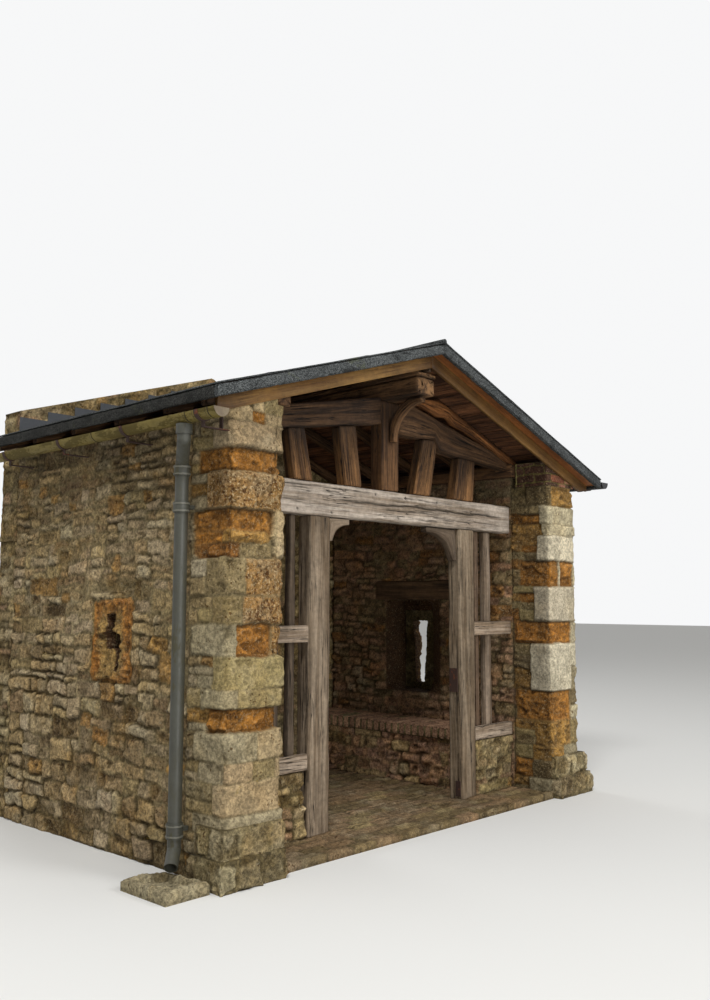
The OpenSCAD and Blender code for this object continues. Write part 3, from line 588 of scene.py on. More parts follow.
class Masonry:
    """One wall's stones on its unrolled face, where u runs along the face and z up"""

    def __init__(self, stones, seed, joint=0.010, dress=None, pointing=POINTING, corners=(), darken_from=99.0,
                 tone=None):
        """dress says how finely dressed the wall is along u, tone how light, with painted shade where a
        caller puts it, and the height where rough stone starts to darken towards the wall's head
        """
        self.stones, self.seed, self.corners, self.darken_from = stones, seed, corners, darken_from
        self.tone = tone or (lambda u: 1 + 0 * u)
        self.dress = dress or (lambda u: 0 * u)
        self.mortar, self.pointing = np.array(linear(MORTAR)), np.array(linear(pointing))
        rng = np.random.default_rng(seed)
        n = len(stones)

        def by_sort(part, rest):
            return np.array([SORTS[s[4]][part] for s in stones] + [rest])

        self.mid = np.array([((s[0] + s[1]) / 2, (s[2] + s[3]) / 2) for s in stones] + [(0, 0)])
        self.layered = np.array([float(s[4] in LAYERED) for s in stones] + [0.0])
        loose = 1 - self.dress(self.mid[:n, 0])
        self.base = np.array([linear(SORTS[s[4]][0]) for s in stones] + [tuple(self.mortar)])
        share = (0.5 * loose * (1 - 0.6 * self.layered[:n]))[:, None]
        self.base[:n] = self.base[:n] * (1 - share) + self.base[:n].mean(0) * share
        vary = (0.10 + 0.08 * loose)[:, None]
        self.base[:n] *= 1 + rng.uniform(-1, 1, (n, 1)) * vary + rng.uniform(-0.12, 0.12, (n, 3)) * vary
        self.pit, self.rough = by_sort(1, 0.2), by_sort(2, 0.003)
        self.lift = np.array([s[5] for s in stones] + [-0.016])
        self.tilt = np.vstack([rng.uniform(-1, 1, (n, 2)) * (0.06, 0.10), [[0, 0]]])
        self.offset = np.append(rng.uniform(0, 50, n), 0)
        long = np.array([max(s[1] - s[0], s[3] - s[2]) for s in stones])
        free = (0.12 + 0.88 * loose) * np.clip(0.22 / long, 0.15, 1) ** 2
        self.twist = rng.uniform(-0.08, 0.08, n) * free
        self.taper = rng.uniform(-0.26, 0.26, (n, 2)) * free[:, None]
        self.round = 0.005 + rng.uniform(0.0, 1.0, n) ** 2 * (0.012 + 0.014 * loose)
        self.gap = joint * (0.45 + 0.55 * loose)

    def nearest(self, u, z, wu, wz):
        """Depth inside the nearest stone at each point, and which stone it is"""
        inside = np.full(u.shape, -1.0)
        which = np.full(u.shape, len(self.stones))
        line, low_z, high_z, reach = u[:, 0], z.min(0), z.max(0), 0.09
        for i, s in enumerate(self.stones):
            cols = np.flatnonzero((line > s[0] - reach) & (line < s[1] + reach))
            rows = np.flatnonzero((high_z > s[2] - reach) & (low_z < s[3] + reach))
            if not len(cols) or not len(rows):
                continue
            part = (slice(cols[0], cols[-1] + 1), slice(rows[0], rows[-1] + 1))
            a0, b0 = wu[part] - (s[0] + s[1]) / 2, wz[part] - (s[2] + s[3]) / 2
            a, b = a0 - b0 * self.twist[i] * 2, b0 + a0 * self.twist[i]
            half_u, half_z = (s[1] - s[0] - self.gap[i]) / 2, (s[3] - s[2] - self.gap[i]) / 2
            near_u = half_u * (1 + self.taper[i, 0] * np.clip(b / half_z, -1, 1) * 0.6)
            near_z = half_z * (1 + self.taper[i, 1] * np.clip(a / half_u, -1, 1))
            r = min(half_u * 0.9, half_z * 0.9, self.round[i])
            out = past_box(np.abs(a) - near_u + r, np.abs(b) - near_z + r) - r
            better = -out > inside[part]
            inside[part][better] = -out[better]
            which[part][better] = i
        return inside, which

    def look(self, u, z):
        """Height over the wall's face, linear colour, and mortar, pitting and damp at points of a grid"""
        k = self.seed
        dressed = self.dress(u)
        rubbly = 1 - dressed
        loose = 0.45 + 0.55 * rubbly
        wu = u + (fractal(u, z, 0.17, k) * 0.028 + fractal(u, z, 0.06, k + 3) * 0.013) * loose
        wz = z + (fractal(u, z, 0.22, k + 1) * 0.022 + fractal(u, z, 0.07, k + 4) * 0.013) * loose
        wz = wz + fractal(u, z, 1.1, k + 2, 2) * 0.045 * rubbly
        inside, which = self.nearest(u, z, wu, wz)
        rough, own, layered = self.rough[which], self.offset[which], self.layered[which]
        worn = 0.5 + 0.5 * fractal(u, z + own, 0.10, k + 5, 4, 0.65)
        broken = 0.001 + 1.1 * rough + 0.8 * rough * np.maximum(layered, rubbly)
        inside = inside - worn * (0.15 + 0.85 * worn) * broken
        lift = self.lift[which] + fractal(u, z, 0.45, k + 8, 2) * 0.012 * rubbly - 0.007 * layered * dressed
        sunk = (-0.021 + fractal(u, z, 0.5, k + 11, 2) * 0.016) * rubbly + (lift - 0.007) * dressed
        bed = sunk + fractal(u, z, 0.045, k + 9, 3) * 0.008 * loose
        smear = np.maximum(fractal(u, z, 0.12, k + 6), 0) * 0.020 * rubbly
        mortar = 1 - smooth(inside - smear * 0.5, -0.004, 0.002)
        face = fractal(u + own, z, 0.10, k + 6, 4, 0.68)
        fine = fractal(u, z + own, 0.034, k + 7, 2, 0.7)
        strata = fractal(u * 0.35, z + own, 0.045, k + 3, 3) * layered
        rim = np.clip(inside / (0.005 + 0.003 * rubbly + rough * (0.3 + 0.9 * worn)), 0, 1)
        height = sunk + (lift - sunk) * np.sqrt(np.clip(1 - (1 - rim) ** 2, 0, 1))
        chip = smooth(fractal(u + own, z + own, 0.16, k + 8), 0.12, 0.42) * rough * (1.4 + 1.3 * layered)
        tilt = wu - self.mid[which, 0], wz - self.mid[which, 1]
        tilt = np.clip(tilt[0] * self.tilt[which, 0] + tilt[1] * self.tilt[which, 1], -0.012, 0.012)
        bumps = face * rough * (1.2 + 0.8 * np.maximum(rubbly, layered)) + fine * rough * 0.8 + strata * 0.026
        height = height + (bumps + tilt - chip) * rim
        holes = smooth(fractal(u + own, z + own, 0.035, k + 10, 2), 0.25, 0.6) * self.pit[which]
        height = height - holes * 0.007 * rim
        height = np.where(inside > 0, np.maximum(height, bed - 0.008), bed) + smear * mortar
        for corner in self.corners:
            near = np.exp(-((u - corner) / 0.04) ** 2)
            knocked = 0.5 + 0.5 * fractal(own, z, 0.09, k + 2)
            height = height - near * (0.001 + knocked * (0.003 + rough * 1.7))
        seen = SimpleNamespace(u=u, z=z, dressed=dressed, rubbly=rubbly, which=which, own=own,
                               layered=layered, mortar=mortar, face=face, fine=fine, lift=lift)
        makeup = np.stack([mortar, self.pit[which] * (1 - mortar), 0.20 + 0.10 * rubbly], -1)
        return height, self.colour(seen, height), makeup

    def colour(self, at, height):
        """Colour of the stone and mortar with stains, painted shade in the hollows, joints and under ledges,
        and painted highlight on crests and upward faces
        """
        k, u, z = self.seed, at.u, at.z
        stone = self.base[at.which]
        near_tone = (0.35 + 0.4 * at.layered)[..., None]
        bedding = self.mortar * at.rubbly[..., None] + self.pointing * at.dressed[..., None]
        bedding = bedding * (1 - near_tone) + stone * near_tone
        colour = stone * (1 - at.mortar[..., None]) + bedding * at.mortar[..., None]
        # shade mixes random tone with the stone face's own bumps, lighter where they rise: partly painted
        # shade and highlight of the relief
        shade = 1 + 0.12 * fractal(u, z, 0.35, k + 10) + 0.18 * at.face + (0.12 + 0.12 * at.layered) * at.fine
        rusty = smooth(fractal(u + at.own, z, 0.10, k + 1, 5, 0.7), -0.10, 0.25) * at.layered * 0.60
        colour = colour * (1 + (np.array((0.62, 0.66, 0.9)) - 1) * rusty[..., None])
        # Painted highlight on crests and painted shade in hollows of the height; painted shade below ledges
        # and painted highlight on faces that look up
        crest = np.clip((height - soften(height, 9)) / (0.007 + 0.003 * at.dressed), -1, 1)
        slope = np.gradient(height, axis=1) / np.maximum(np.gradient(z, axis=1), 1e-4)
        under, painted_top_light = smooth(slope, 0.15, 1.1), smooth(-slope, 0.1, 0.9)
        shade = shade * (1 + 0.34 * crest - 0.16 * np.maximum(crest, 0)) * (1 - 0.42 * under)
        shade = shade * (1 + 0.10 * painted_top_light)
        ochre = smooth(fractal(u, z, 0.24, k + 7), 0.1, 0.5)[..., None] * (0.15 + 0.30 * at.rubbly[..., None])
        colour = colour * (1 + (np.array((1.01, 0.815, 0.50)) - 1) * ochre)
        grey = smooth(fractal(u, z, 0.20, k + 9, 4), 0.0, 0.4) * smooth(height, -0.016, 0.004)
        grey = (grey * (0.30 + 0.15 * at.rubbly) * (1 - 0.7 * at.layered))[..., None]
        colour = colour * (1 - grey) + np.array(linear((0.58, 0.55, 0.46))) * grey
        # Rough stone is made darker towards the head of the wall
        head_darkening = 0.35 * smooth(z, self.darken_from, self.darken_from + 0.35) * at.rubbly
        # The tone passed in brings the painted shade of the east reveal
        colour = colour * (shade * (1 - head_darkening) * self.tone(u))[..., None]
        # Points below a stone's own level are pulled towards a dark colour: painted shade in the joints and
        # recesses
        level_of = at.lift * 0.85 * (at.dressed + at.layered * at.rubbly)
        depth = smooth(height - level_of, -0.034, -0.004)[..., None]
        painted_hollow_shade = np.array((0.36, 0.315, 0.215))
        return np.clip(colour * (painted_hollow_shade + (1 - painted_hollow_shade) * depth), 0, 1)


def run_of(points, u_start, steps, arc=0.03, inset=INSET, power=4.0):
    """Columns of a wall's face along a plan line with rounded outward corners.
    Each column has u, a base point, a direction out and a factor that squares the corner."""
    rows = []
    u = u_start
    reach = arc + inset
    for k in range(len(points) - 1):
        a, b = np.array(points[k], float), np.array(points[k + 1], float)
        long = np.linalg.norm(b - a)
        d = (b - a) / long
        out = np.array([d[1], -d[0]])
        first = reach if k > 0 else 0.0
        last = long - (reach if k < len(points) - 2 else 0.0)
        n = max(2, int(round((last - first) / steps[k])) + 1)
        for t in np.linspace(first, last, n):
            rows.append((u + t, *(a + d * t - out * inset), *out, 1.0))
        if k < len(points) - 2:
            d2 = (np.array(points[k + 2], float) - b)
            d2 /= np.linalg.norm(d2)
            out2 = np.array([d2[1], -d2[0]])
            centre = b - (out + out2) * reach
            step = (steps[k] + steps[k + 1]) / 2
            m = max(4, int(round(2 * reach / step)))
            for t in np.linspace(0, 2, m + 1)[1:-1]:
                angle = math.atan(t) if t < 1 else math.pi / 2 - math.atan(2 - t)
                c, s = math.cos(angle), math.sin(angle)
                way = out * c + out2 * s
                factor = 1 / (c ** power + s ** power) ** (1 / power)
                rows.append((u + long - reach + reach * t, *(centre + way * arc), *way, factor))
        u += long
    return np.array(rows)


def tidy_mask(mask):
    """Opens the cells between two open cells that touch only at a corner"""
    for _ in range(6):
        a, b, c, d = mask[:-1, :-1], mask[1:, :-1], mask[:-1, 1:], mask[1:, 1:]
        i, j = np.nonzero((a & d & ~b & ~c) | (b & c & ~a & ~d))
        if not len(i):
            break
        mask[i, j] = mask[i + 1, j] = mask[i, j + 1] = mask[i + 1, j + 1] = True
    return mask


def open_loops(faces):
    """Rings of points round the openings in a mesh, in the order of their faces' edges"""
    edges = set()
    for f in faces:
        edges.update(zip(f, f[1:] + f[:1]))
    after = {a: b for a, b in edges if (b, a) not in edges}
    loops = []
    while after:
        start, b = after.popitem()
        loop = [start]
        while b != start:
            loop.append(b)
            b = after.pop(b)
        loops.append(loop)
    return sorted(loops, key=len, reverse=True)


def side_by_side(first, second):
    """Steps along two rising lists together: the place in each, and whether the first one moves on"""
    i, j = 0, 0
    while i < len(first) - 1 or j < len(second) - 1:
        moves = j == len(second) - 1 or (i < len(first) - 1 and first[i + 1] < second[j + 1])
        yield i, j, moves
        i, j = i + moves, j + (not moves)


def zip_rings(points, first, second):
    """Triangles between two rings that turn the same way, matched by distance along them from the
    lowest point"""
    def start_low(ring):
        place = points[ring]
        k = int(np.argmin(place[:, 2] + 0.2 * np.abs(place[:, 1] - place[:, 1].mean())))
        ring = ring[k:] + ring[:k + 1]
        along = np.cumsum(np.linalg.norm(np.diff(points[ring], axis=0), axis=1))
        return ring, np.concatenate([[0], along / along[-1]])

    a, a_at = start_low(first)
    b, b_at = start_low(second)
    return [[a[i + 1], a[i], b[j]] if moves else [b[j], b[j + 1], a[i]]
            for i, j, moves in side_by_side(a_at, b_at)]


def across_ring(points, ring):
    """Faces that fill a long ring with strips across it, so that its slopes and steps stay true"""
    place = points[ring]
    axis = int(np.argmax(np.ptp(place[:, :2], axis=0)))
    first = int(np.argmin(place[:, axis]))
    ring = ring[first:] + ring[:first]
    turn = int(np.argmax(points[ring][:, axis]))
    near, far = ring[:turn + 1], ring[:1] + ring[:turn - 1:-1]
    near_at, far_at = (np.maximum.accumulate(points[side][:, axis]) for side in (near, far))
    faces = [[near[i], near[i + 1], far[j]] if moves else [near[i], far[j + 1], far[j]]
             for i, j, moves in side_by_side(near_at, far_at)]
    return [f for f in faces if len(set(f)) == 3]


def grid_quads(index):
    """Faces between the neighbouring points of a grid"""
    return np.stack([index[:-1, :-1], index[1:, :-1], index[1:, 1:], index[:-1, 1:]], -1).reshape(-1, 4)


def wall_face(columns, count, low, top, step, masonry, holes, inset, arc, extra, proud):
    """Points, colours, make-up and faces of one run of a wall, with its stones and openings"""
    u, base, way, square = columns[:, 0:1], columns[:, 1:3], columns[:, 3:5], columns[:, 5:6]
    edge = base + way * inset
    foot, head = low(*edge.T)[:, None], top(*edge.T)[:, None]
    z = foot + (head - foot) * np.linspace(0, 1, count)[None, :]
    grid_u = np.repeat(u, count, 1)
    for hole in holes:
        grid_u, z = hole.snap(grid_u, z, step)
    height, colour, makeup = masonry.look(grid_u, z)
    if extra:
        height, colour, makeup = extra(grid_u, z, height, colour, makeup)
    height = np.clip(height + inset, 0.004, inset + proud)
    shift = (grid_u - u)[..., None] * np.stack([-way[:, 1], way[:, 0]], -1)[:, None, :]
    away = (height * square + arc * (square - 1))[..., None]
    flat = base[:, None] + shift + way[:, None] * away
    opened = np.zeros((len(columns) - 1, count - 1), bool)
    for hole in holes:
        mid_u, mid_z = ((grid[:-1, :-1] + grid[1:, 1:]) / 2 for grid in (grid_u, z))
        opened |= hole.distance(mid_u, mid_z) < 0
    quads = grid_quads(np.arange(z.size).reshape(z.shape))[~tidy_mask(opened).ravel()]
    points = np.concatenate([flat, z[..., None]], -1)
    return [rows.reshape(-1, 3) for rows in (points, colour, makeup)], quads


def line_passage(rows, faces, passage):
    """Joins a wall's outer and inner opening through the rings between them, and closes smaller gaps"""
    P, C, M = rows
    loops = open_loops(faces)
    outer, inner = sorted(loops[:2], key=lambda loop: -abs(P[loop][:, 0].mean()))
    faces += [small[::-1] for small in loops[2:]]
    last, n = outer, len(outer)
    for more in passage(P[outer]):
        ring = list(range(len(P), len(P) + n))
        shade = 1 + 0.22 * fractal(more[:, 0] + more[:, 1], more[:, 2], 0.05, 3, 3)[:, None]
        P = np.vstack([P, more])
        C = np.vstack([C, np.clip(np.array(linear((0.30, 0.21, 0.13))) * shade, 0, 1)])
        M = np.vstack([M, np.tile((0.1, 0.5, 0.25), (n, 1))])
        faces += [[last[(k + 1) % n], last[k], ring[k], ring[(k + 1) % n]] for k in range(n)]
        last = ring
    faces += zip_rings(P, last, inner[::-1])
    return P, C, M


def wall_piece(name, runs, low, top, step, masonry, material, holes=(), inset=INSET, arc=0.03, extra=None,
               passage=None, proud=0.02):
    """A closed wall from runs of columns. low and top give a column's foot and head from its x and y.
    holes are openings in the faces, and passage gives the rings between the outer one and the inner one."""
    corner = runs[0][0, 1:3] + runs[0][0, 3:5] * inset
    count = max(int(round(float(top(*corner) - low(*corner)) / step)), 2) + 1
    parts, faces, starts, size = [], [], [], 0
    for columns in runs:
        part, quads = wall_face(columns, count, low, top, step, masonry, holes, inset, arc, extra, proud)
        faces += (quads + size).tolist()
        parts.append(part)
        starts.append((size, len(columns)))
        size += len(part[0])
    for k, (first, wide) in enumerate(starts):
        following = starts[(k + 1) % len(starts)][0]
        a = first + (wide - 1) * count
        faces += [[a + i, following + i, following + i + 1, a + i + 1] for i in range(count - 1)]
    rows = [np.concatenate(part) for part in zip(*parts)]
    feet = [first + c * count for first, wide in starts for c in range(wide)]
    for ring, order in ((feet, -1), ([foot + count - 1 for foot in feet], 1)):
        if np.ptp(rows[0][ring][:, 2]) > 0.03:
            faces += [f[::order] for f in across_ring(rows[0], ring)]
        else:
            faces.append(ring[::order])
    if passage:
        rows = line_passage(rows, faces, passage)
    return new_mesh(name, rows[0], faces, material, {"tint": rows[1], "makeup": rows[2]})


class Hole:
    """An opening in a wall's unrolled face: upright slots that run together, each with its shift along the
    wall, foot, head, half-width and how much wider its head is"""

    def __init__(self, u, parts, ragged=0.0, seed=0, side=1):
        self.u, self.parts, self.ragged, self.seed, self.side = u, parts, ragged, seed, side

    def distance(self, u, z):
        """Distance from the opening's edge, less than 0 inside it"""
        best = np.full(np.shape(u), 9.0)
        along = (u - self.u) * self.side
        for shift, foot, head, half, flare in self.parts:
            mid, tall = (foot + head) / 2, (head - foot) / 2
            a, b = np.abs(along - shift) - half - flare * (z - mid) / tall, np.abs(z - mid) - tall
            best = np.minimum(best, past_box(a, b))
        return best + self.ragged * fractal(along, z, 0.06, self.seed, 3)

    def snap(self, u, z, step):
        """Moves the nearest grid points on to the opening's edge"""
        e = 1e-4
        for _ in range(2):
            d = self.distance(u, z)
            gu = (self.distance(u + e, z) - self.distance(u - e, z)) / (2 * e)
            gz = (self.distance(u, z + e) - self.distance(u, z - e)) / (2 * e)
            size = np.maximum(np.hypot(gu, gz), 0.3)
            close = np.abs(d) < step * 0.62
            u = np.where(close, u - d * gu / size ** 2, u)
            z = np.where(close, z - d * gz / size ** 2, z)
        return u, z


def on_rectangle(angle, mid_y, z0, z1, half):
    """Points where rays from the middle of an upright rectangle meet its sides"""
    dy, dz = np.cos(angle), np.sin(angle)
    tall = (z1 - z0) / 2
    t = 1 / np.maximum(np.abs(dy) / half, np.abs(dz) / tall)
    return mid_y + dy * t, (z0 + z1) / 2 + dz * t


def splayed_passage(s):
    """Rings behind a window's dressed stone: its bed, then the splayed recess out to the inner face"""
    w, half = WINDOW[s], STONE_W / 2

    def rings(loop):
        angle = np.arctan2(loop[:, 2] - (w.sill + w.tall / 2), loop[:, 1] - w.mid)
        y0, z0 = on_rectangle(angle, w.mid, w.stone_foot, w.stone_head, half)
        y1, z1 = on_rectangle(angle, w.mid, w.foot, w.head, half - 0.060)
        y2, z2 = on_rectangle(angle, w.recess, w.foot, w.head, SPLAY_W / 2)
        made = [(HALF_W - 0.05, y0, z0), (STONE_BACK, y0, z0), (STONE_BACK, (y0 + y1) / 2, (z0 + z1) / 2)]
        for t in np.linspace(0, 1, 17)[:-1]:
            rough = 0.007 * fractal(y1 + t, z1, 0.08, 7, 3)
            made.append((STONE_BACK + (INNER_X - STONE_BACK) * t, y1 + (y2 - y1) * t + rough,
                         z1 + (z2 - z1) * t + rough))
        return [np.stack([np.full(len(loop), s * x), y, z], -1) for x, y, z in made]

    return rings


def straight_passage(s):
    """Rings through a window's dressed stone, worn wider inwards"""
    def rings(loop):
        made = []
        for t in np.linspace(0, 1, 10)[1:-1]:
            more = loop.copy()
            more[:, 0] = loop[:, 0] + (s * STONE_BACK - loop[:, 0]) * t
            more[:, 1:] += 0.004 * fractal(loop[:, 1:2] + t, loop[:, 2:3], 0.05, 9, 2)
            made.append(more)
        return made

    return rings


WALL_MIX = {"tan": 5, "grey": 4, "honey": 2.5, "pale": 1, "brown": 1.6, "ochre": 0.6}
REVEAL_MIX = {"tan": 2.5, "brown": 1.5, "honey": 2, "ochre": 3, "orange": 1.5}
BENCH_MIX = {"tan": 2.5, "ruddy": 5, "honey": 1, "peat": 1.5}
FOOT_MIX = {"grey": 3, "tan": 2, "brown": 2}
REAR_MIX = {"tan": 4, "brown": 3, "grey": 2, "honey": 1.5, "peat": 1.5, "ochre": 0.5}
INNER_MIX = {"peat": 4, "ruddy": 3, "brown": 2.5, "rust": 0.8}

# Rows of the piers' dressed stones from the foot up: foot and head of the row, then for each stone where it
# starts and ends from the outward corner in metres, its sort, and how far it stands proud in millimetres.
WEST_ROWS = [
    (0.000, 0.140, [(-0.33, 0.12, "brown", 2), (0.12, 0.66, "grey", 0)]),
    (0.140, 0.272, [(-0.28, 0.2, "grey", 0), (0.2, 0.62, "brown", 3)]),
    (0.280, 0.398, [(-0.30, 0.62, "grey", 4)]),
    (0.402, 0.578, [(-0.12, 0.58, "buff", 2)]),
    (0.580, 0.695, [(-0.26, -0.02, "grey", -4), (-0.02, 0.22, "buff", 0), (0.22, 0.39, "tan", -6),
                    (0.39, 0.62, "buff", 0)]),
    (0.698, 0.866, [(-0.30, 0.25, "grey", 2), (0.25, 0.64, "buff", 3)]),
    (0.870, 0.996, [(-0.20, 0.54, "orange", -25)]),
    (1.004, 1.112, [(-0.25, 0.092, "grey", 1), (0.092, 0.62, "honey", 3)]),
    (1.114, 1.304, [(-0.14, 0.60, "honey", 1)]),
    (1.308, 1.492, [(-0.35, 0.08, "grey", -1), (0.08, 0.345, "orange", -17), (0.35, 0.60, "pitted", -10)]),
    (1.502, 1.664, [(-0.15, 0.12, "moss", -3), (0.12, 0.62, "pitted", 0)]),
    (1.672, 1.892, [(-0.22, 0.145, "tan", -5), (0.145, 0.60, "pitted", -1)]),
    (1.898, 2.188, [(-0.32, 0.12, "rust", -34, 1.898, 1.985), (0.12, 0.365, "tan", -28, 1.898, 1.985),
                    (-0.10, 0.33, "ochre", -20, 1.985, 2.060), (-0.34, 0.345, "orange", -28, 2.060, 2.188),
                    (-0.34, -0.10, "orange", -30, 1.985, 2.060), (0.385, 0.62, "buff", 3)]),
    (2.196, 2.414, [(-0.22, 0.62, "pitted", 1)]),
    (2.418, 2.552, [(-0.32, 0.294, "orange", -24), (0.300, 0.60, "orange", -20)]),
    (2.560, 2.718, [(-0.16, 0.62, "buff", 2)]),
    (2.722, 2.790, [(-0.20, 0.176, "buff", 0, 2.722, 2.850), (0.180, 0.285, "orange", -8),
                    (0.288, 0.62, "buff", -1)]),
    (2.790, 2.960, [(0.186, 0.276, "buff", -3), (0.280, 0.62, "tan", -4)]),
]
EAST_ROWS = [
    (0.000, 0.150, [(-0.24, 0.10, "grey", 4), (0.10, 0.30, "brown", 0), (0.30, 0.66, "tan", 5)]),
    (0.150, 0.296, [(-0.20, 0.13, "brown", -2), (0.13, 0.37, "grey", 2), (0.37, 0.64, "brown", -3)]),
    (0.300, 0.412, [(-0.20, 0.20, "ochre", -3), (0.20, 0.60, "grey", -6)]),
    (0.418, 0.622, [(-0.18, 0.315, "ochre", -5), (0.325, 0.62, "moss", -4)]),
    (0.636, 0.876, [(-0.34, 0.315, "orange", -9), (0.325, 0.62, "brown", -8, 0.75, 0.876),
                    (0.325, 0.62, "pale", -4, 0.636, 0.745)]),
    (0.882, 1.276, [(-0.20, 0.335, "cream", 4), (0.34, 0.62, "cream", -3, 1.08, 1.276),
                    (0.34, 0.62, "grey", -5, 0.882, 1.075)]),
    (1.284, 1.462, [(-0.36, 0.345, "orange", -10), (0.35, 0.62, "pale", -3)]),
    (1.474, 1.762, [(-0.16, 0.62, "cream", 4)]),
    (1.770, 1.986, [(-0.30, 0.172, "orange", -13), (0.172, 0.20, "pale", -7), (0.20, 0.405, "orange", -11),
                    (0.41, 0.62, "pale", -2)]),
    (1.992, 2.204, [(-0.12, 0.62, "cream", 3)]),
    (2.208, 2.304, [(-0.07, 0.62, "pale", 1)]),
    (2.306, 2.462, [(-0.09, 0.62, "pale", 3)]),
    (2.468, 2.642, [(-0.23, 0.080, "brown", -5), (0.085, 0.62, "ochre", -4)]),
    (2.642, 2.880, [(-0.20, 0.62, "brown", -6)]),
]

# Along a side wall's unrolled face: its pier's outward corner, the width of the pier's front, and where the
# faces before and after the pier end and start
CORNER, FRONT = 2.6, 0.46
PIER_FROM, PIER_TO = CORNER + PIER_Y, CORNER + FRONT - PIER_Y
# Where the hidden back of a window's stone starts along that face, far from all other stones
BACK_U = 50.0
# Half-width of the notch over the rear lintel
NOTCH_X = 0.79
# Single stones of the west wall: place along, height, half-width, half-height, sort and lift
ACCENTS = [(1.385, 2.27, 0.085, 0.055, "ochre", -0.030), (1.40, 1.87, 0.042, 0.055, "ochre", -0.038),
           (0.45, 1.76, 0.19, 0.065, "ochre", -0.024), (0.80, 1.98, 0.13, 0.05, "honey", -0.012),
           (1.95, 1.62, 0.11, 0.06, "honey", -0.010), (1.25, 0.72, 0.09, 0.05, "ochre", -0.016),
           (2.02, 1.20, 0.10, 0.07, "ochre", -0.018)]


def put_stones(stones, u, half, low, high, new):
    """Cuts rubble back from an upright rectangle and puts other stones in it"""
    kept = []
    for s in stones:
        if s[1] <= u - half or s[0] >= u + half or s[3] <= low or s[2] >= high:
            kept.append(s)
            continue
        mid_u, mid_z = (s[0] + s[1]) / 2, (s[2] + s[3]) / 2
        if low < mid_z < high and u - half < mid_u < u + half:
            continue
        cut = list(s)
        if low < mid_z < high:
            cut[1 if mid_u < u else 0] = u - half if mid_u < u else u + half
        elif mid_z < low:
            cut[3] = min(cut[3], low)
        else:
            cut[2] = max(cut[2], high)
        if cut[1] - cut[0] > 0.03 and cut[3] - cut[2] > 0.03:
            kept.append(tuple(cut))
    return kept + new


def stones_of(s):
    """All stones of one side wall, from its rear edge round the pier and back on the other face"""
    w, early, late = WINDOW[s], (-0.02, PIER_FROM), (PIER_TO, CORNER + PIER_TO + 0.02)
    if s == WEST:
        stones = courses(WEST_ROWS, CORNER, PIER_FROM, PIER_TO, 100, WALL_MIX)
        outer_seed, inner_seed, outside, inside = 11, 12, early, late
    else:
        stones = courses(EAST_ROWS, CORNER, PIER_FROM, PIER_TO, 300, REVEAL_MIX)
        outer_seed, inner_seed, outside, inside = 14, 13, late, early
    stones += rubble(outer_seed, *outside, -0.02, 0.95, WALL_MIX, (0.19, 0.075, 0.42, 0.15), 0.30,
                     (-0.022, 0.006))
    stones += rubble(outer_seed + 4, *outside, 0.95, 1.75, WALL_MIX, (0.13, 0.055, 0.34, 0.12), 0.22,
                     (-0.018, 0.004))
    stones += rubble(outer_seed + 8, *outside, 1.75, 2.95, WALL_MIX, (0.095, 0.045, 0.34, 0.12), 0.17)
    stones += rubble(inner_seed, *inside, -0.02, 2.95, INNER_MIX)
    if s == WEST:
        for at, z, half, half_tall, sort, lift in ACCENTS:
            low, high = z - half_tall, z + half_tall
            stones = put_stones(stones, at, half, low, high, [(at - half, at + half, low, high, sort, lift)])
    at, half = REAR_Y - w.mid if s == WEST else PIER_TO + w.mid, STONE_W / 2
    block = (at - half + 0.012, at + half - 0.012, w.sill - 0.115, w.sill + w.tall + 0.028, "orange", -0.008)
    slab = (at - half - 0.04, at + half + 0.01, w.sill + w.tall + 0.034, w.stone_head, "grey", -0.008)
    return put_stones(stones, at, half, w.stone_foot, w.stone_head, [block, slab])


def side_masonry(s):
    """Stone by stone look of a side wall: narrow pointed joints near its dressed corner, else rough ones"""
    def dress(u):
        end = CORNER + FRONT
        return smooth(u, CORNER - 0.5, CORNER - 0.2) * (1 - smooth(u, end + 0.15, end + 0.35))

    def tone(u):
        """Dressed stone carries a film of dirt and the inner faces are made half as light again; the east
        pier's reveal and the east wall's inner face carry painted shade"""
        inner = u > PIER_TO if s == WEST else u < PIER_FROM
        film = 1 - (0.20 if s == WEST else 0.13) * dress(u) + 0.5 * inner
        # Painted shade, 0.42 deep, on the east side's faces before the pier's outward corner
        return film * (1 - 0.42 * (1 - smooth(u, CORNER - 0.02, CORNER + 0.004)) * (s == EAST))

    return Masonry(stones_of(s), 20 + s, dress=dress, corners=(CORNER, CORNER + FRONT), darken_from=2.35, tone=tone)


def self_tone(colour):
    """How light each point is against the mean of its surface"""
    light = colour.sum(-1, keepdims=True)
    return np.clip(light / max(float(light.mean()), 1e-6), 0.4, 1.4)


def level(z):
    """A foot or head at one height"""
    return lambda x, y: 0 * x + z


def under_roof(s):
    """A side wall's head, as wall_piece takes it"""
    return lambda x, y: wall_top(s, np.abs(x))


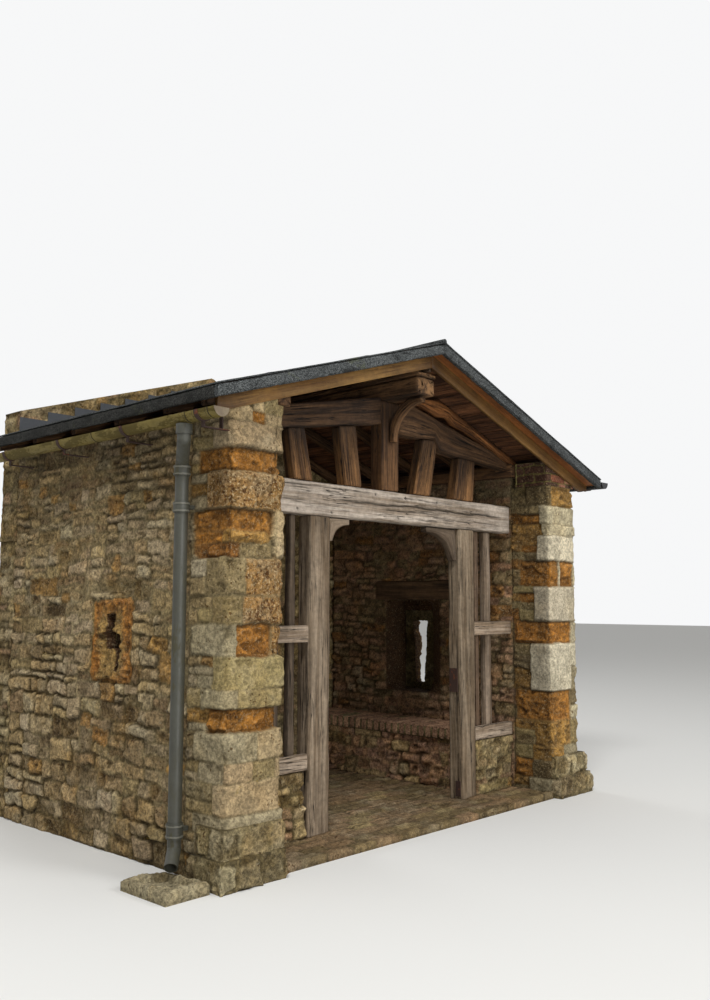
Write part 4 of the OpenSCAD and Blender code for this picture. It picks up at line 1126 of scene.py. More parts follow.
def side_wall(s, masonry, outer_step, inner_step, z_step):
    """The long part of a side wall behind the timber front, open at its window"""
    w, outer, inner = WINDOW[s], s * HALF_W, s * INNER_X
    if s == WEST:
        outer_u, inner_u = REAR_Y - w.mid, PIER_TO + w.recess
        outside = run_of([(outer, REAR_Y), (outer, 0)], 0, [outer_step])
        inside = run_of([(inner, 0), (inner, REAR_Y)], PIER_TO, [inner_step])
    else:
        outer_u, inner_u = PIER_TO + w.mid, REAR_Y - w.recess
        outside = run_of([(outer, 0), (outer, REAR_Y)], PIER_TO, [outer_step])
        inside = run_of([(inner, REAR_Y), (inner, 0)], 0, [inner_step])

    def sink_lintel(u, z, height, colour, makeup):
        """A bed for the timber lintel over the recess"""
        bed = (np.abs(u - inner_u) < 0.478) & (z > w.head - 0.03) & (z < w.head + 0.197)
        return np.where(bed, -0.03, height), colour, makeup

    holes = [Hole(outer_u, [(0, w.stone_foot, w.stone_head, STONE_W / 2, 0)]),
             Hole(inner_u, [(0, w.foot, w.head, SPLAY_W / 2, 0)])]
    wall = wall_piece(SIDES[s] + "_rubble_wall", [outside, inside], level(0), under_roof(s), z_step, masonry,
                      RUBBLE, holes, extra=sink_lintel, passage=splayed_passage(s))
    keep(wall, "rubble_stone", SIDES[s] + "_wall")
    window_stone(s, w, masonry, outer_u)


def window_stone(s, w, masonry, middle, step=0.0085):
    """The dressed stone round a window's slit, whose middle is given along the unrolled face"""
    half, outer, back = STONE_W / 2, s * HALF_W, s * STONE_BACK
    near, far = w.mid - s * half, w.mid + s * half
    front_run = run_of([(outer, near), (outer, far)], middle - half, [step])
    back_run = run_of([(back, far), (back, near)], BACK_U, [step])
    if s == WEST:
        parts = [(-0.026, w.sill + 0.15, w.sill + 0.36, 0.042, 0.010),
                 (0.010, w.sill + 0.12, w.sill + 0.235, 0.092, 0.0),
                 (0.066, w.sill - 0.02, w.sill + 0.17, 0.032, 0.012)]
    else:
        parts = [(0, w.sill, w.sill + w.tall, SLIT_W * 0.4, SLIT_W * 0.1)]
    slots = [Hole(middle, parts, 0.016, 3 + s), Hole(BACK_U + half, parts, side=-1)]

    def worn(u, z, height, colour, makeup):
        """Rusty at its edges, honey coloured and hollowed round the slot, with the wall's mortar about it"""
        if u[0, 0] > BACK_U / 2:
            return height, colour, makeup
        away = np.maximum(np.abs(u - middle) / 0.20, np.abs(z - w.sill - 0.17) / 0.34)
        honey = 1 - smooth(away + 0.35 * fractal(u, z, 0.09, 5, 4), 0.45, 0.95)[..., None]
        slab = smooth(z, w.stone_head - 0.072, w.stone_head - 0.066)[..., None]
        honey = honey * (1 - slab) * (1 - makeup[..., 0:1])
        rusty = (0.5 + 0.5 * fractal(u, z, 0.12, 9, 4))[..., None] * (1 - slab)
        colour = colour * (1 + (np.array((0.78, 0.68, 0.42)) - 1) * rusty)
        # self_tone carries the painted shade and highlight of the stone beneath into the fresh colour
        level_of = (0.75 + 0.35 * fractal(u, z, 0.03, 6, 3))[..., None] * self_tone(colour)
        fresh = np.array(linear((0.60, 0.50, 0.30))) * level_of * 0.8 * honey
        hollow = 0.020 * (1 - smooth(np.hypot((u - middle) / 0.17, (z - w.sill - 0.10) / 0.26), 0.3, 1.0))
        return height - hollow, colour * (1 - 0.8 * honey) + fresh, makeup

    block = wall_piece(SIDES[s] + "_window_stone", [front_run, back_run], level(w.stone_foot),
                       level(w.stone_head), step, masonry, ORANGE, slots, extra=worn,
                       passage=straight_passage(s))
    keep(block, "orange_stone", SIDES[s] + "_slit_surround")


def pier(s, masonry, steps, z_step, top):
    """The end of a side wall in front of the timber frame, with its corners worn round"""
    first, last = (-HALF_W, -INNER_X) if s == WEST else (INNER_X, HALF_W)
    line = [(first, 0), (first, PIER_Y), (last, PIER_Y), (last, 0)]
    columns = run_of(line, PIER_FROM, steps, 0.02, power=5.0)
    keep(wall_piece(SIDES[s] + "_pier", [columns], level(0), top, z_step, masonry, RUBBLE, arc=0.02),
         "rubble_stone", SIDES[s] + "_wall")


def block_wall(name, box_x, box_y, low, top, step, mix, seed, node, band=0.24, size=ROUGH_SIZE):
    """A free block of rubble with stone on all four sides"""
    (x0, x1), (y0, y1) = box_x, box_y
    line = [(x0, y1), (x0, y0), (x1, y0), (x1, y1), (x0, y1)]
    around = 2 * (x1 - x0 + y1 - y0)
    stones = rubble(seed, -0.02, around + 0.02, -0.02, 3.75, mix, size, band, (-0.022, -0.006))
    columns = run_of(line, 0, [step] * 4, 0.012, 0.045, 9.0)
    side = np.abs(columns[:, 1]) - NOTCH_X
    for k in np.flatnonzero(side[:-1] * side[1:] < 0):
        share = side[k] / (side[k] - side[k + 1])
        a, b = columns[k].copy(), columns[k + 1].copy()
        columns[k], columns[k + 1] = a + (b - a) * (share - 0.01), a + (b - a) * (share + 0.01)
    wall = wall_piece(name, [columns], low, top, step, Masonry(stones, seed), RUBBLE, inset=0.045, arc=0.012,
                      proud=0.0)
    keep(wall, "rubble_stone", node)


def gable_foot(x, y):
    """Foot of the rear gable, with its notch over the doorway's lintel"""
    return np.where(np.abs(x) < NOTCH_X, 2.28, 2.1)


def gable_head(x, y):
    """Head of the rear gable, above the roof"""
    return np.where(x < RIDGE_X, roof_z(WEST, -x, -0.17), roof_z(EAST, x, -0.17))


def build_walls():
    """Side walls with their piers, the wall behind, benches and the low walls under the side lights"""
    west, east = side_masonry(WEST), side_masonry(EAST)
    pier(WEST, west, [0.0105, 0.0086, 0.020], 0.0090, under_roof(WEST))
    pier(EAST, east, [0.0105, 0.0098, 0.022], 0.0098,
         lambda x, y: np.minimum(wall_top(EAST, np.abs(x)), BRICK_Z))
    side_wall(WEST, west, 0.0118, 0.034, 0.0106)
    side_wall(EAST, east, 0.024, 0.019, 0.0165)
    behind = (REAR_Y, REAR_BACK)
    for part, box_x, low, top, seed, node in (
            ("west", (-HALF_W, -0.575), level(0), level(2.1), 60, "rear_wall"),
            ("east", (0.575, HALF_W), level(0), level(2.1), 61, "rear_wall"),
            ("gable", (-HALF_W, HALF_W), gable_foot, gable_head, 62, "rear_gable")):
        block_wall("rear_wall_" + part, box_x, behind, low, top, 0.026, REAR_MIX, seed, node)
    for s, bench_step in ((WEST, 0.024), (EAST, 0.014)):
        bench, light = (sorted((s * x, s * INNER_X)) for x in (BENCH_X, POST_OUT[s]))
        block_wall(SIDES[s] + "_bench_stone", bench, (BENCH_Y, REAR_Y), level(0), level(BENCH_TOP),
                   bench_step, BENCH_MIX, 64 + s, SIDES[s] + "_bench", 0.088, (0.12, 0.06, 0.36, 0.12))
        block_wall(SIDES[s] + "_side_light_wall", light, (0, FRAME_T), level(0), level(SILL_Z), 0.012,
                   REAR_MIX, 67 + s, "sills", 0.16)


# Timbers. The four faces of a timber: the way each one looks, and the way it runs across
FACE_OUT = np.array([(0, -1), (1, 0), (0, 1), (-1, 0)], float)
FACE_ALONG = np.array([(1, 0), (0, 1), (-1, 0), (0, -1)], float)


def bar_outline(width, depth, across, edge):
    """Points round a timber's section: face, place across it, point and way out"""
    rows = []
    for face, span in enumerate((width, depth, width, depth)):
        n = max(2, int(round((span - 2 * edge) / across)))
        rows += [(face, t * (span / 2 - edge), 0.0) for t in np.linspace(-1, 1, n + 1)]
        rows.append((face, span / 2 - edge, 0.5))
    rows = np.array(rows)
    face, t, turn = rows[:, 0].astype(int), rows[:, 1], rows[:, 2]
    out = FACE_OUT[face] * (1 - turn)[:, None] + FACE_OUT[(face + 1) % 4] * turn[:, None]
    out /= np.linalg.norm(out, axis=1)[:, None]
    reach = np.array([depth, width, depth, width]) / 2
    base = FACE_OUT[face] * (reach[face] - edge)[:, None] + FACE_ALONG[face] * t[:, None]
    return face, t, base + out * edge, out


def bar(name, place, size, seed, material, step=(0.03, 0.009), edge=0.010, bow=0.003, ridge=0.0012,
        wane=0.004, checks=(), dents=(), tint=(1, 1, 1), fade=(1, 1), end_tone=(1, 1, 1), end_tint=None):
    """A worn timber. place turns arrays a, b, c (along 0..1, across and through -1..1) into points;
    size is length, width and depth, and step the mesh's size along and across. Checks are open cracks:
    face, start, end, place across, width, depth. Dents are peg holes: face, place along, place across,
    radius. fade darkens from foot to head, end_tone tones both ends."""
    length, width, depth = size
    face, t, section, out = bar_outline(width, depth, step[1], edge)
    half = np.array((width, depth)) / 2
    rows = max(2, int(round(length / step[0])))
    rim = edge / length
    a = np.concatenate([[0, 0.25 * rim, rim], np.linspace(rim, 1 - rim, rows + 1)[1:-1],
                        [1 - rim, 1 - 0.25 * rim, 1]])
    around = np.cumsum(np.concatenate([[0], np.linalg.norm(np.diff(section, axis=0), axis=1)]))
    A, S = np.meshgrid(a * length, around, indexing="ij")
    off = seed * 3.17
    ends = np.minimum(a * length, (1 - a) * length)
    from_corner = np.minimum(np.hypot(*(half - np.abs(section)).T), 0.05)
    sink = -ridge * (1 + fractal(A * 0.06 + off, S, 0.009, seed, 3, 0.7))
    sink = sink - bow * (1 + fractal(A + off, S * 0.8, 0.28, seed + 2, 2))
    corner = np.exp(-(from_corner / 0.012) ** 2)[None, :]
    sink = sink - corner * wane * (1 + fractal(A + off, S, 0.16, seed + 4, 3))
    sink = sink - (edge * 0.8 * (1 - smooth(ends, 0, edge)) ** 2)[:, None]
    painted_crack_shade = np.zeros_like(sink)
    for which, start, end, at, wide, down in checks:
        line = t[None, :] - at - 0.02 * fractal(A + off, A * 0 + which + at, 0.35, seed + 5, 4)
        inside = smooth(A / length, start, start + 0.06) * (1 - smooth(A / length, end - 0.06, end))
        cut = np.exp(-(line / wide) ** 2) * (face[None, :] == which) * inside
        painted_crack_shade = np.maximum(painted_crack_shade, cut)
        sink = sink - cut * down
    for which, along, at, radius in dents:
        far = np.hypot(A - along, t[None, :] - at) + 10 * (face[None, :] != which)
        cut = 1 - smooth(far, radius * 0.7, radius * 1.25)
        painted_crack_shade = np.maximum(painted_crack_shade, cut)
        sink = sink - cut * 0.012
    worn = (section[None] + out[None] * sink[..., None]) / half
    # Checks and peg holes are darkened to a tenth: painted shade in them
    tone = (1 - 0.12 * fractal(A + off, S, 0.5, seed + 6, 2)) * (1 - 0.9 * painted_crack_shade)
    tone = tone * (fade[0] + (fade[1] - fade[0]) * (A / length))
    near_end = (1 - smooth(ends, 0.0, 0.35))[:, None, None]
    colour = np.array(tint) * (1 + (np.array(end_tone) - 1) * near_end) * tone[..., None]
    return bar_mesh(name, place, a, length, half, off, worn, colour,
                    np.array(end_tint or np.array(tint) * 0.9), material)


def bar_mesh(name, place, a, length, half, off, worn, colour, end_colour, material):
    """The closed mesh of a timber from its worn sections, with flat ends"""
    n = worn.shape[1]

    def grain(along, b, c):
        return np.stack([along + off, b * half[0] + off, c * half[1]], -1).reshape(-1, 3)

    along = np.repeat(a[:, None], n, 1)
    b, c = worn[..., 0], worn[..., 1]
    P, G, C = place(along, b, c).reshape(-1, 3), grain(along * length, b, c), colour.reshape(-1, 3)
    index = np.arange(along.size).reshape(along.shape)
    beside = np.roll(index, -1, 1)
    faces = np.stack([index[:-1], beside[:-1], beside[1:], index[1:]], -1).reshape(-1, 4).tolist()
    for row, order in ((0, -1), (len(a) - 1, 1)):
        last = index[row]
        for share in (0.94, 0.6):
            mid_b, mid_c, spot = b[row] * share, c[row] * share, np.full(n, a[row])
            new = np.arange(len(P), len(P) + n)
            P = np.vstack([P, place(spot[:, None], mid_b[:, None], mid_c[:, None]).reshape(-1, 3)])
            G = np.vstack([G, grain(spot * length, mid_b, mid_c)])
            C = np.vstack([C, np.tile(end_colour, (n, 1))])
            quads = np.stack([last, np.roll(last, -1), np.roll(new, -1), new], -1)
            faces += quads[:, ::order].tolist()
            last = new
        faces.append(last[::order].tolist())
    return new_mesh(name, P, orient(P, faces), material, {"tint": np.clip(C, 0, 4)}, {"grain": G})


def orient(points, faces):
    """Turns all faces over when the solid is inside out"""
    total = 0.0
    for f in faces[::7]:
        p = points[f[:3]]
        total += float(np.dot(np.cross(p[1] - p[0], p[2] - p[0]), p[0] - points.mean(0)))
    return faces if total > 0 else [f[::-1] for f in faces]


def straight(p0, p1, across, through):
    """A place function: a straight timber from p0 to p1 with half-width and half-depth vectors"""
    p0, p1, across, through = (np.array(v, float) for v in (p0, p1, across, through))

    def place(a, b, c):
        return p0 + (p1 - p0) * a[..., None] + across * b[..., None] + through * c[..., None]

    return place


def box_bar(name, low, high, axis, seed, material, **more):
    """A timber that fills a box, with its grain along one axis"""
    low, high = np.array(low, float), np.array(high, float)
    mid, half = (low + high) / 2, (high - low) / 2
    first, second = (k for k in range(3) if k != axis)
    p0, p1 = mid.copy(), mid.copy()
    p0[axis], p1[axis] = low[axis], high[axis]
    across, through = np.zeros(3), np.zeros(3)
    across[first], through[second] = half[first], half[second]
    size = (2 * half[axis], 2 * half[first], 2 * half[second])
    return bar(name, straight(p0, p1, across, through), size, seed, material, **more)


def node_bar(node, axis, seed, material, slot, **more):
    """A worn timber in place of a node that is a plain box"""
    low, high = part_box(node)
    return keep(box_bar(node + "_worn", low, high, axis, seed, material, **more), slot, node)


def between(s, x0, x1, upper, lower, y0, y1):
    """A place function for a timber between two lines in the gable's plane, from x0 to x1 on side s"""
    def place(a, b, c):
        x = x0 + (x1 - x0) * a
        top, foot = upper(x), lower(x)
        z = (top + foot) / 2 + (top - foot) / 2 * c
        y = (y0 + y1) / 2 + (y1 - y0) / 2 * b
        return np.stack([s * x, y, z], -1)

    return place


def below_roof(s, drop):
    """A line at a depth below the roof, as between takes it"""
    return lambda x: roof_z(s, x, drop)


# Wear of hewn timbers, and of the roughest ones
HEWN = {"bow": 0.004, "wane": 0.008, "ridge": 0.0016}
ROUGHEST = {"bow": 0.004, "wane": 0.009, "ridge": 0.0018}
# Drying cracks in the lintel: face, start, end, place across, width, depth
LINTEL_CHECKS = [(3, 0.26, 0.98, -0.012, 0.0062, 0.030), (3, 0.03, 0.2, 0.02, 0.004, 0.012),
                 (3, 0.66, 0.97, 0.062, 0.004, 0.012), (3, 0.05, 0.42, -0.088, 0.004, 0.010),
                 (3, 0.45, 0.75, -0.07, 0.004, 0.010)]
# Peg holes in the lintel: face, place along, place across, radius
LINTEL_HOLES = [(3, 0.93, -0.083, 0.011), (3, 1.28, -0.080, 0.011), (3, 1.63, -0.078, 0.011),
                (3, 0.47, 0.085, 0.010), (3, 0.81, 0.088, 0.010), (3, 2.02, -0.075, 0.011),
                (3, 2.45, 0.07, 0.010)]
POST_CHECKS = [(3, 0.02, 0.62, 0.02, 0.003, 0.012), (3, 0.45, 0.97, -0.03, 0.003, 0.010),
               (0, 0.1, 0.7, 0.03, 0.003, 0.010)]


def build_front():
    """Lintel, posts, braces, rails and mullions of the timber front"""
    lintel = box_bar("lintel", *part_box("lintel_beam"), 0, 1, SILVER_OAK, step=(0.017, 0.0082), edge=0.012,
                     bow=0.004, ridge=0.0014, wane=0.009, checks=LINTEL_CHECKS, dents=LINTEL_HOLES,
                     tint=(1.18, 1.18, 1.2))
    keep(lintel, "weathered_oak", "lintel_beam")
    for node, seed, tint in (("west_post", 2, (0.60, 0.54, 0.46)), ("east_post", 3, (0.62, 0.56, 0.47))):
        node_bar(node, 2, seed, SILVER_OAK, "weathered_oak", step=(0.026, 0.0082), checks=POST_CHECKS,
                 tint=tint, **HEWN)
    braces, rails = [], []
    # The east brace's much darker tint is painted shade
    for s, run, drop, tint in ((WEST, 0.222, 0.168, (0.85, 0.8, 0.74)),
                               (EAST, 0.392, 0.262, (0.3, 0.26, 0.22))):
        braces.append(bar("brace", brace_place(s, run, drop, POST_IN[s]), (math.hypot(run, drop), 0.07, 0.1),
                          20 + s, SILVER_OAK, step=(0.012, 0.008), edge=0.006, tint=tint))
    keep(join("head_braces_worn", braces), "weathered_oak", "head_braces")
    for s in (WEST, EAST):
        x0 = POST_OUT[s]
        for k, z in enumerate((SILL_Z, 1.350)):
            left, right = sorted((s * x0, s * INNER_X))
            rails.append(box_bar("rail", (left, 0.005, z), (right, 0.055, z + 0.124), 0, 30 + s + 3 * k,
                                 SILVER_OAK, step=(0.02, 0.0075), edge=0.006, wane=0.007,
                                 tint=(1.0, 0.93, 0.86)))
        mullions = []
        for k, (share, wide) in enumerate(((0.19, 0.062), (0.48, 0.105))):
            x = s * (x0 + share * (INNER_X - x0))
            tint = (0.30, 0.26, 0.22) if s == WEST else ((0.34, 0.26, 0.20), (0.58, 0.52, 0.46))[k]
            low, high = (x - wide / 2, 0.055, SILL_Z), (x + wide / 2, 0.115, POST_H)
            mullions.append(box_bar("mullion", low, high, 2, 40 + s + 3 * k, SILVER_OAK,
                                    step=(0.025, 0.009), edge=0.006, tint=tint))
        keep(join(SIDES[s] + "_mullions_worn", mullions), "weathered_oak", "side_mullions")
    keep(join("side_rails_worn", rails), "weathered_oak", "side_rails")


def brace_place(s, run, drop, x):
    """A head brace with its back in the corner of post and lintel and a hollow below"""
    nose = 0.045
    first, last = np.array((x - run, POST_H - nose)), np.array((x - nose, POST_H - drop))
    chord = np.linalg.norm(last - first)
    sag = chord * 0.16
    radius = chord ** 2 / 8 / sag + sag / 2
    d = (last - first) / chord
    up = np.array((-d[1], d[0]))
    centre = (first + last) / 2 - up * (radius - sag)
    half = math.asin(chord / 2 / radius)

    def place(a, b, c):
        angle = (a * 2 - 1) * half
        low_x, low_z = (centre[k] + radius * (d[k] * np.sin(angle) + up[k] * np.cos(angle)) for k in (0, 1))
        turn = run / (run + drop)
        top_x = np.where(a < turn, x - run + run * a / turn, x)
        top_z = np.where(a < turn, POST_H, POST_H - drop * (a - turn) / (1 - turn))
        share = (c + 1) / 2
        return np.stack([s * (low_x + (top_x - low_x) * share), 0.065 + 0.035 * b,
                         low_z + (top_z - low_z) * share], -1)

    return place


# Lines of the gable's timbers, as shares of the way from the king post to the pier and depths there:
# the principals' tops and depths, and how far the crooked rafters leave a straight one
PRINCIPAL_TOP = {WEST: (0.314, 0.176), EAST: (0.278, 0.093)}
PRINCIPAL_DEEP = {WEST: ((0, 1), (0.225, 0.153)),
                  EAST: ((0, 0.15, 0.3, 0.34, 0.525, 0.72, 1),
                         (0.302, 0.255, 0.188, 0.258, 0.215, 0.155, 0.085))}
CROOKED_TOP = {WEST: ((0, 1), (0, 0)), EAST: ((0, 0.19, 0.328, 0.4, 1), (0.210, 0.108, 0.007, 0, 0))}
CROOKED_FOOT = {WEST: ((0, 0.2, 0.45, 0.7, 0.95, 1), (0.004, 0.019, -0.013, 0.003, 0, 0)),
                EAST: ((0, 0.19, 0.328, 0.426, 0.469, 0.587, 0.755, 0.93, 1),
                       (0.196, 0.078, 0.066, 0.005, 0.034, 0.002, -0.009, 0, 0))}
# The raking studs: share along the principal, lean, and widths of foot and top as shares of a stud's width
STUDS = {WEST: ((0.217, 0.068, 1.0, 1.02), (0.6, 0.072, 1.02, 0.9)),
         EAST: ((0.2, 0.1, 1.2, 1.02), (0.564, 0.054, 1.47, 1.28))}
STUD_W = 0.190


def share_of(s, x):
    """How far x is along the way from the king post to the pier"""
    return (x - KING_SIDE[s]) / (INNER_X - KING_SIDE[s])


def crooked_top(s, x):
    return roof_z(s, x, RAFTER_TOP) - np.interp(share_of(s, x), *CROOKED_TOP[s])


def crooked_foot(s, x):
    return roof_z(s, x, RAFTER_FOOT) - np.interp(share_of(s, x), *CROOKED_FOOT[s])


def principal_z(s, x):
    ends = [roof_z(s, KING_SIDE[s], PRINCIPAL_TOP[s][0]), roof_z(s, INNER_X, PRINCIPAL_TOP[s][1])]
    return np.interp(share_of(s, x), (0, 1), ends)


def principal_under(s, x):
    return principal_z(s, x) - np.interp(share_of(s, x), *PRINCIPAL_DEEP[s])


def principal_over(s, x):
    """Top of a principal, notched for the crooked rafter and the wall plate"""
    over = np.minimum(principal_z(s, x), crooked_foot(s, x) - 0.001)
    return np.where(x > PLATE_FRONT, np.minimum(over, plate_seat(s)), over)


def stud_place(s, share, lean, foot_wide, top_wide):
    """A raking stud that ends under its principal"""
    foot_x = KING_SIDE[s] + (INNER_X - KING_SIDE[s]) * share
    rise = float(principal_under(s, np.array(foot_x)) - LINTEL_TOP)

    def place(a, b, c):
        foot = foot_x + b * STUD_W * foot_wide / 2
        top = foot_x + lean + b * STUD_W * top_wide / 2
        t = np.ones_like(foot)
        for _ in range(6):
            t = (principal_under(s, foot + (top - foot) * t) - LINTEL_TOP) / rise
        t = t * a
        return np.stack([s * (foot + (top - foot) * t), 0.0675 + 0.0525 * c, LINTEL_TOP + rise * t], -1)

    return place


def king_brace_place(a, b, c):
    """The curved brace from the king post forward to the ridge beam"""
    reach, inner, outer, beam_z = 0.320, 0.273, 0.348, 3.173
    angle = a * math.pi / 2
    limit = reach / np.maximum(np.maximum(np.cos(angle), np.sin(angle)), 1e-6)
    outer = np.minimum(outer, limit)
    r = (inner + outer) / 2 + (outer - inner) / 2 * c
    return np.stack([RIDGE_X + 0.035 * b, -reach + r * np.cos(angle), beam_z - reach + r * np.sin(angle)], -1)


def build_gable():
    """King post, its brace, principals and studs"""
    node_bar("king_post", 2, 4, DARK_OAK, "dark_oak", step=(0.014, 0.0065), tint=(1.35, 1.15, 0.95),
             checks=[(0, 0.1, 0.9, 0.03, 0.003, 0.012), (0, 0.3, 0.8, -0.05, 0.003, 0.01)],
             fade=(1.1, 0.35), **HEWN)
    keep(bar("king_brace_worn", king_brace_place, (0.47, 0.07, 0.075), 5, DARK_OAK, step=(0.014, 0.008),
             edge=0.007, tint=(1.25, 1.1, 0.95)), "dark_oak", "king_brace")
    for s, tint in ((WEST, (0.62, 0.55, 0.5)), (EAST, (0.85, 0.76, 0.68))):
        place = between(s, KING_SIDE[s], INNER_X, lambda x: principal_over(s, x),
                        lambda x: principal_under(s, x), 0, FRAME_T)
        keep(bar(SIDES[s] + "_principal_worn", place, (1.45, FRAME_T, 0.2), 6 + s, DARK_OAK,
                 step=(0.018, 0.0085), bow=0.003, wane=0.008, ridge=0.0016, tint=tint,
                 checks=[(3, 0.1, 0.8, 0.0, 0.003, 0.012), (3, 0.4, 0.95, -0.04, 0.003, 0.01)]),
             "dark_oak", SIDES[s] + "_principal")
        studs = []
        for k, numbers in enumerate(STUDS[s]):
            size = (0.45 - 0.17 * k, STUD_W * 1.1, 0.105)
            studs.append(bar("stud", stud_place(s, *numbers), size, 10 + 3 * k + s, DARK_OAK,
                             step=(0.010, 0.0062), tint=(1.55, 1.33, 1.02), fade=(1.45, 0.25), **ROUGHEST,
                             checks=[(0, 0.05, 0.95, 0.02, 0.003, 0.01),
                                     (0, 0.2, 0.9, -0.045, 0.003, 0.009)]))
        keep(join(SIDES[s] + "_studs_worn", studs), "dark_oak", SIDES[s] + "_studs")


def build_ridge():
    """Ridge beam, the board that lies on it and the ridge board"""
    node_bar("ridge_beam", 1, 14, DARK_OAK, "dark_oak", step=(0.03, 0.0075), bow=0.004, wane=0.010,
             ridge=0.002, tint=(1.2, 1.1, 1.0), end_tint=(1.9, 1.75, 1.5))
    node_bar("ridge_cap", 1, 15, DARK_OAK, "dark_oak", step=(0.04, 0.008), edge=0.005, bow=0.0015, wane=0.003,
             tint=(1.5, 1.4, 1.25), end_tint=(2.1, 1.95, 1.7))
    low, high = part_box("ridge_board")
    keep(box_bar("ridge_board_sawn", low, (high.x, high.y, high.z - 0.010), 1, 16, DARK_OAK,
                 step=(0.06, 0.012), edge=0.004, wane=0.002), "dark_oak", "ridge_board")


def build_plates():
    """Wall plates in their rebates"""
    plates = []
    for s, y0 in ((WEST, PIER_Y), (EAST, BRICK_BACK)):
        def plate(a, b, c):
            x = (PLATE_FRONT + PLATE_BACK) / 2 + b * (PLATE_BACK - PLATE_FRONT) / 2
            seat, top = plate_seat(s), roof_z(s, x, RAFTER_FOOT)
            return np.stack([s * x, y0 + (REAR_Y - y0) * a, seat + (top - seat) * (c + 1) / 2], -1)

        plates.append(bar("plate", plate, (REAR_Y - y0, 0.125, 0.1), 17 + s, DARK_OAK, step=(0.06, 0.016),
                          tint=(1.2, 1.05, 0.9)))
    keep(join("wall_plates_worn", plates), "dark_oak", "wall_plates")


def build_rafters(s, x_end):
    """Common rafters of one slope, with the crooked one over the frame"""
    start = s * RIDGE_X + 0.025
    rafters = []
    for k, y in enumerate((PIER_Y, 0.535, 1.070, 1.605, 2.140)):
        place = between(s, start, x_end, below_roof(s, RAFTER_TOP), below_roof(s, RAFTER_FOOT), y,
                        y + RAFTER_W)
        rafters.append(bar("rafter", place, (2.1, RAFTER_W, 0.095), 50 + 6 * k + s, DARK_OAK,
                           step=(0.07, 0.016), edge=0.007, wane=0.006, tint=(1.1, 0.98, 0.85)))
    place = between(s, KING_SIDE[s] if s == EAST else start, x_end, lambda x: crooked_top(s, x),
                    lambda x: crooked_foot(s, x), 0, RAFTER_W)
    rafters.append(bar("crooked_rafter", place, (2.1, RAFTER_W, 0.1), 90 + s, DARK_OAK, step=(0.020, 0.009),
                       edge=0.009, bow=0.004, wane=0.009, ridge=0.002,
                       tint=(2.1, 1.45, 0.88) if s == EAST else (0.7, 0.62, 0.55),
                       checks=[(3, 0.05, 0.5, 0.0, 0.003, 0.012), (3, 0.3, 0.9, 0.02, 0.003, 0.01)]))
    keep(join(SIDES[s] + "_rafters_worn", rafters), "dark_oak", SIDES[s] + "_rafters")


def build_boarding(s, x_end):
    """Roof boards of one slope, each with its own tone"""
    boards = []
    edges = np.append(np.arange(s * RIDGE_X, x_end - 0.1, 0.152), x_end)
    for k, (x0, x1) in enumerate(zip(edges[:-1], edges[1:])):
        def board(a, b, c):
            x = (x0 + x1) / 2 + (x1 - x0 - 0.004) / 2 * b
            y = VERGE_Y + BAND_T + (REAR_Y - VERGE_Y - BAND_T) * a
            return np.stack([s * x, y, roof_z(s, x, 0.024) + 0.012 * c], -1)

        tone = 0.8 + 0.45 * float(np.random.default_rng(200 + k + s).random())
        boards.append(bar("board", board, (2.7, 0.15, 0.024), 100 + k + 20 * s, DARK_OAK, step=(0.18, 0.05),
                          edge=0.003, bow=0.0008, wane=0.001, tint=(1.35 * tone, 1.0 * tone, 0.88 * tone)))
    keep(join(SIDES[s] + "_roof_boarding", boards), "dark_oak", SIDES[s] + "_roof_boards")


def build_barges():
    """Sawn barge boards along the verges and the soffits behind them"""
    barges, soffits = [], []
    for s, x_end, tint in ((WEST, 2.109, (0.44, 0.43, 0.34)), (EAST, EAVE_X - BAND_T, (0.33, 0.3, 0.21))):
        place = between(s, s * RIDGE_X, x_end, below_roof(s, 0.078),
                        lambda x: roof_z(s, x, 0.178) + 0.05 * smooth(x, 2.02, 2.16), PIER_Y - 0.026, PIER_Y)
        barges.append(bar("barge", place, (2.2, 0.026, 0.1), 130 + s, SOFTWOOD, step=(0.03, 0.008),
                          edge=0.003, bow=0.0006, wane=0.0012, ridge=0.0004,
                          end_tone=(0.55, 0.5, 0.45), tint=tint))
        place = between(s, s * RIDGE_X, EAVE_X - BAND_T, below_roof(s, 0.066), below_roof(s, 0.078),
                        VERGE_Y + BAND_T, PIER_Y)
        soffits.append(bar("soffit", place, (2.2, 0.105, 0.012), 133 + s, SOFTWOOD, step=(0.05, 0.012),
                           edge=0.002, bow=0.0004, wane=0.0005, ridge=0.0003, tint=(0.55, 0.36, 0.28)))
    keep(join("barge_boards_nailed", barges), "new_softwood", "barge_boards")
    keep(join("soffit_boards", soffits), "new_softwood", "soffits")


def build_stone_lintels():
    """Timber lintels over the doorway behind and over the windows' recesses"""
    node_bar("rear_door_lintel", 0, 140, SILVER_OAK, "weathered_oak", step=(0.03, 0.012),
             tint=(0.8, 0.74, 0.68))
    lintels = []
    for s in (WEST, EAST):
        w = WINDOW[s]
        x0, x1 = sorted((s * (INNER_X + 0.002), s * (INNER_X + 0.140)))
        low, high = (x0, w.recess - 0.47, w.head), (x1, w.recess + 0.47, w.head + 0.19)
        lintels.append(box_bar("recess_lintel", low, high, 1, 142 + s, DARK_OAK, step=(0.03, 0.01)))
    keep(join("recess_lintels_worn", lintels), "dark_oak", "recess_lintels")


def band_foot(s, x, y):
    """Frayed lower edge of a felt band"""
    fray = np.maximum(fractal(x + y, y * 0.3, 0.03, 6, 3), 0) * 0.008
    return roof_z(s, x, 0.096) + fray


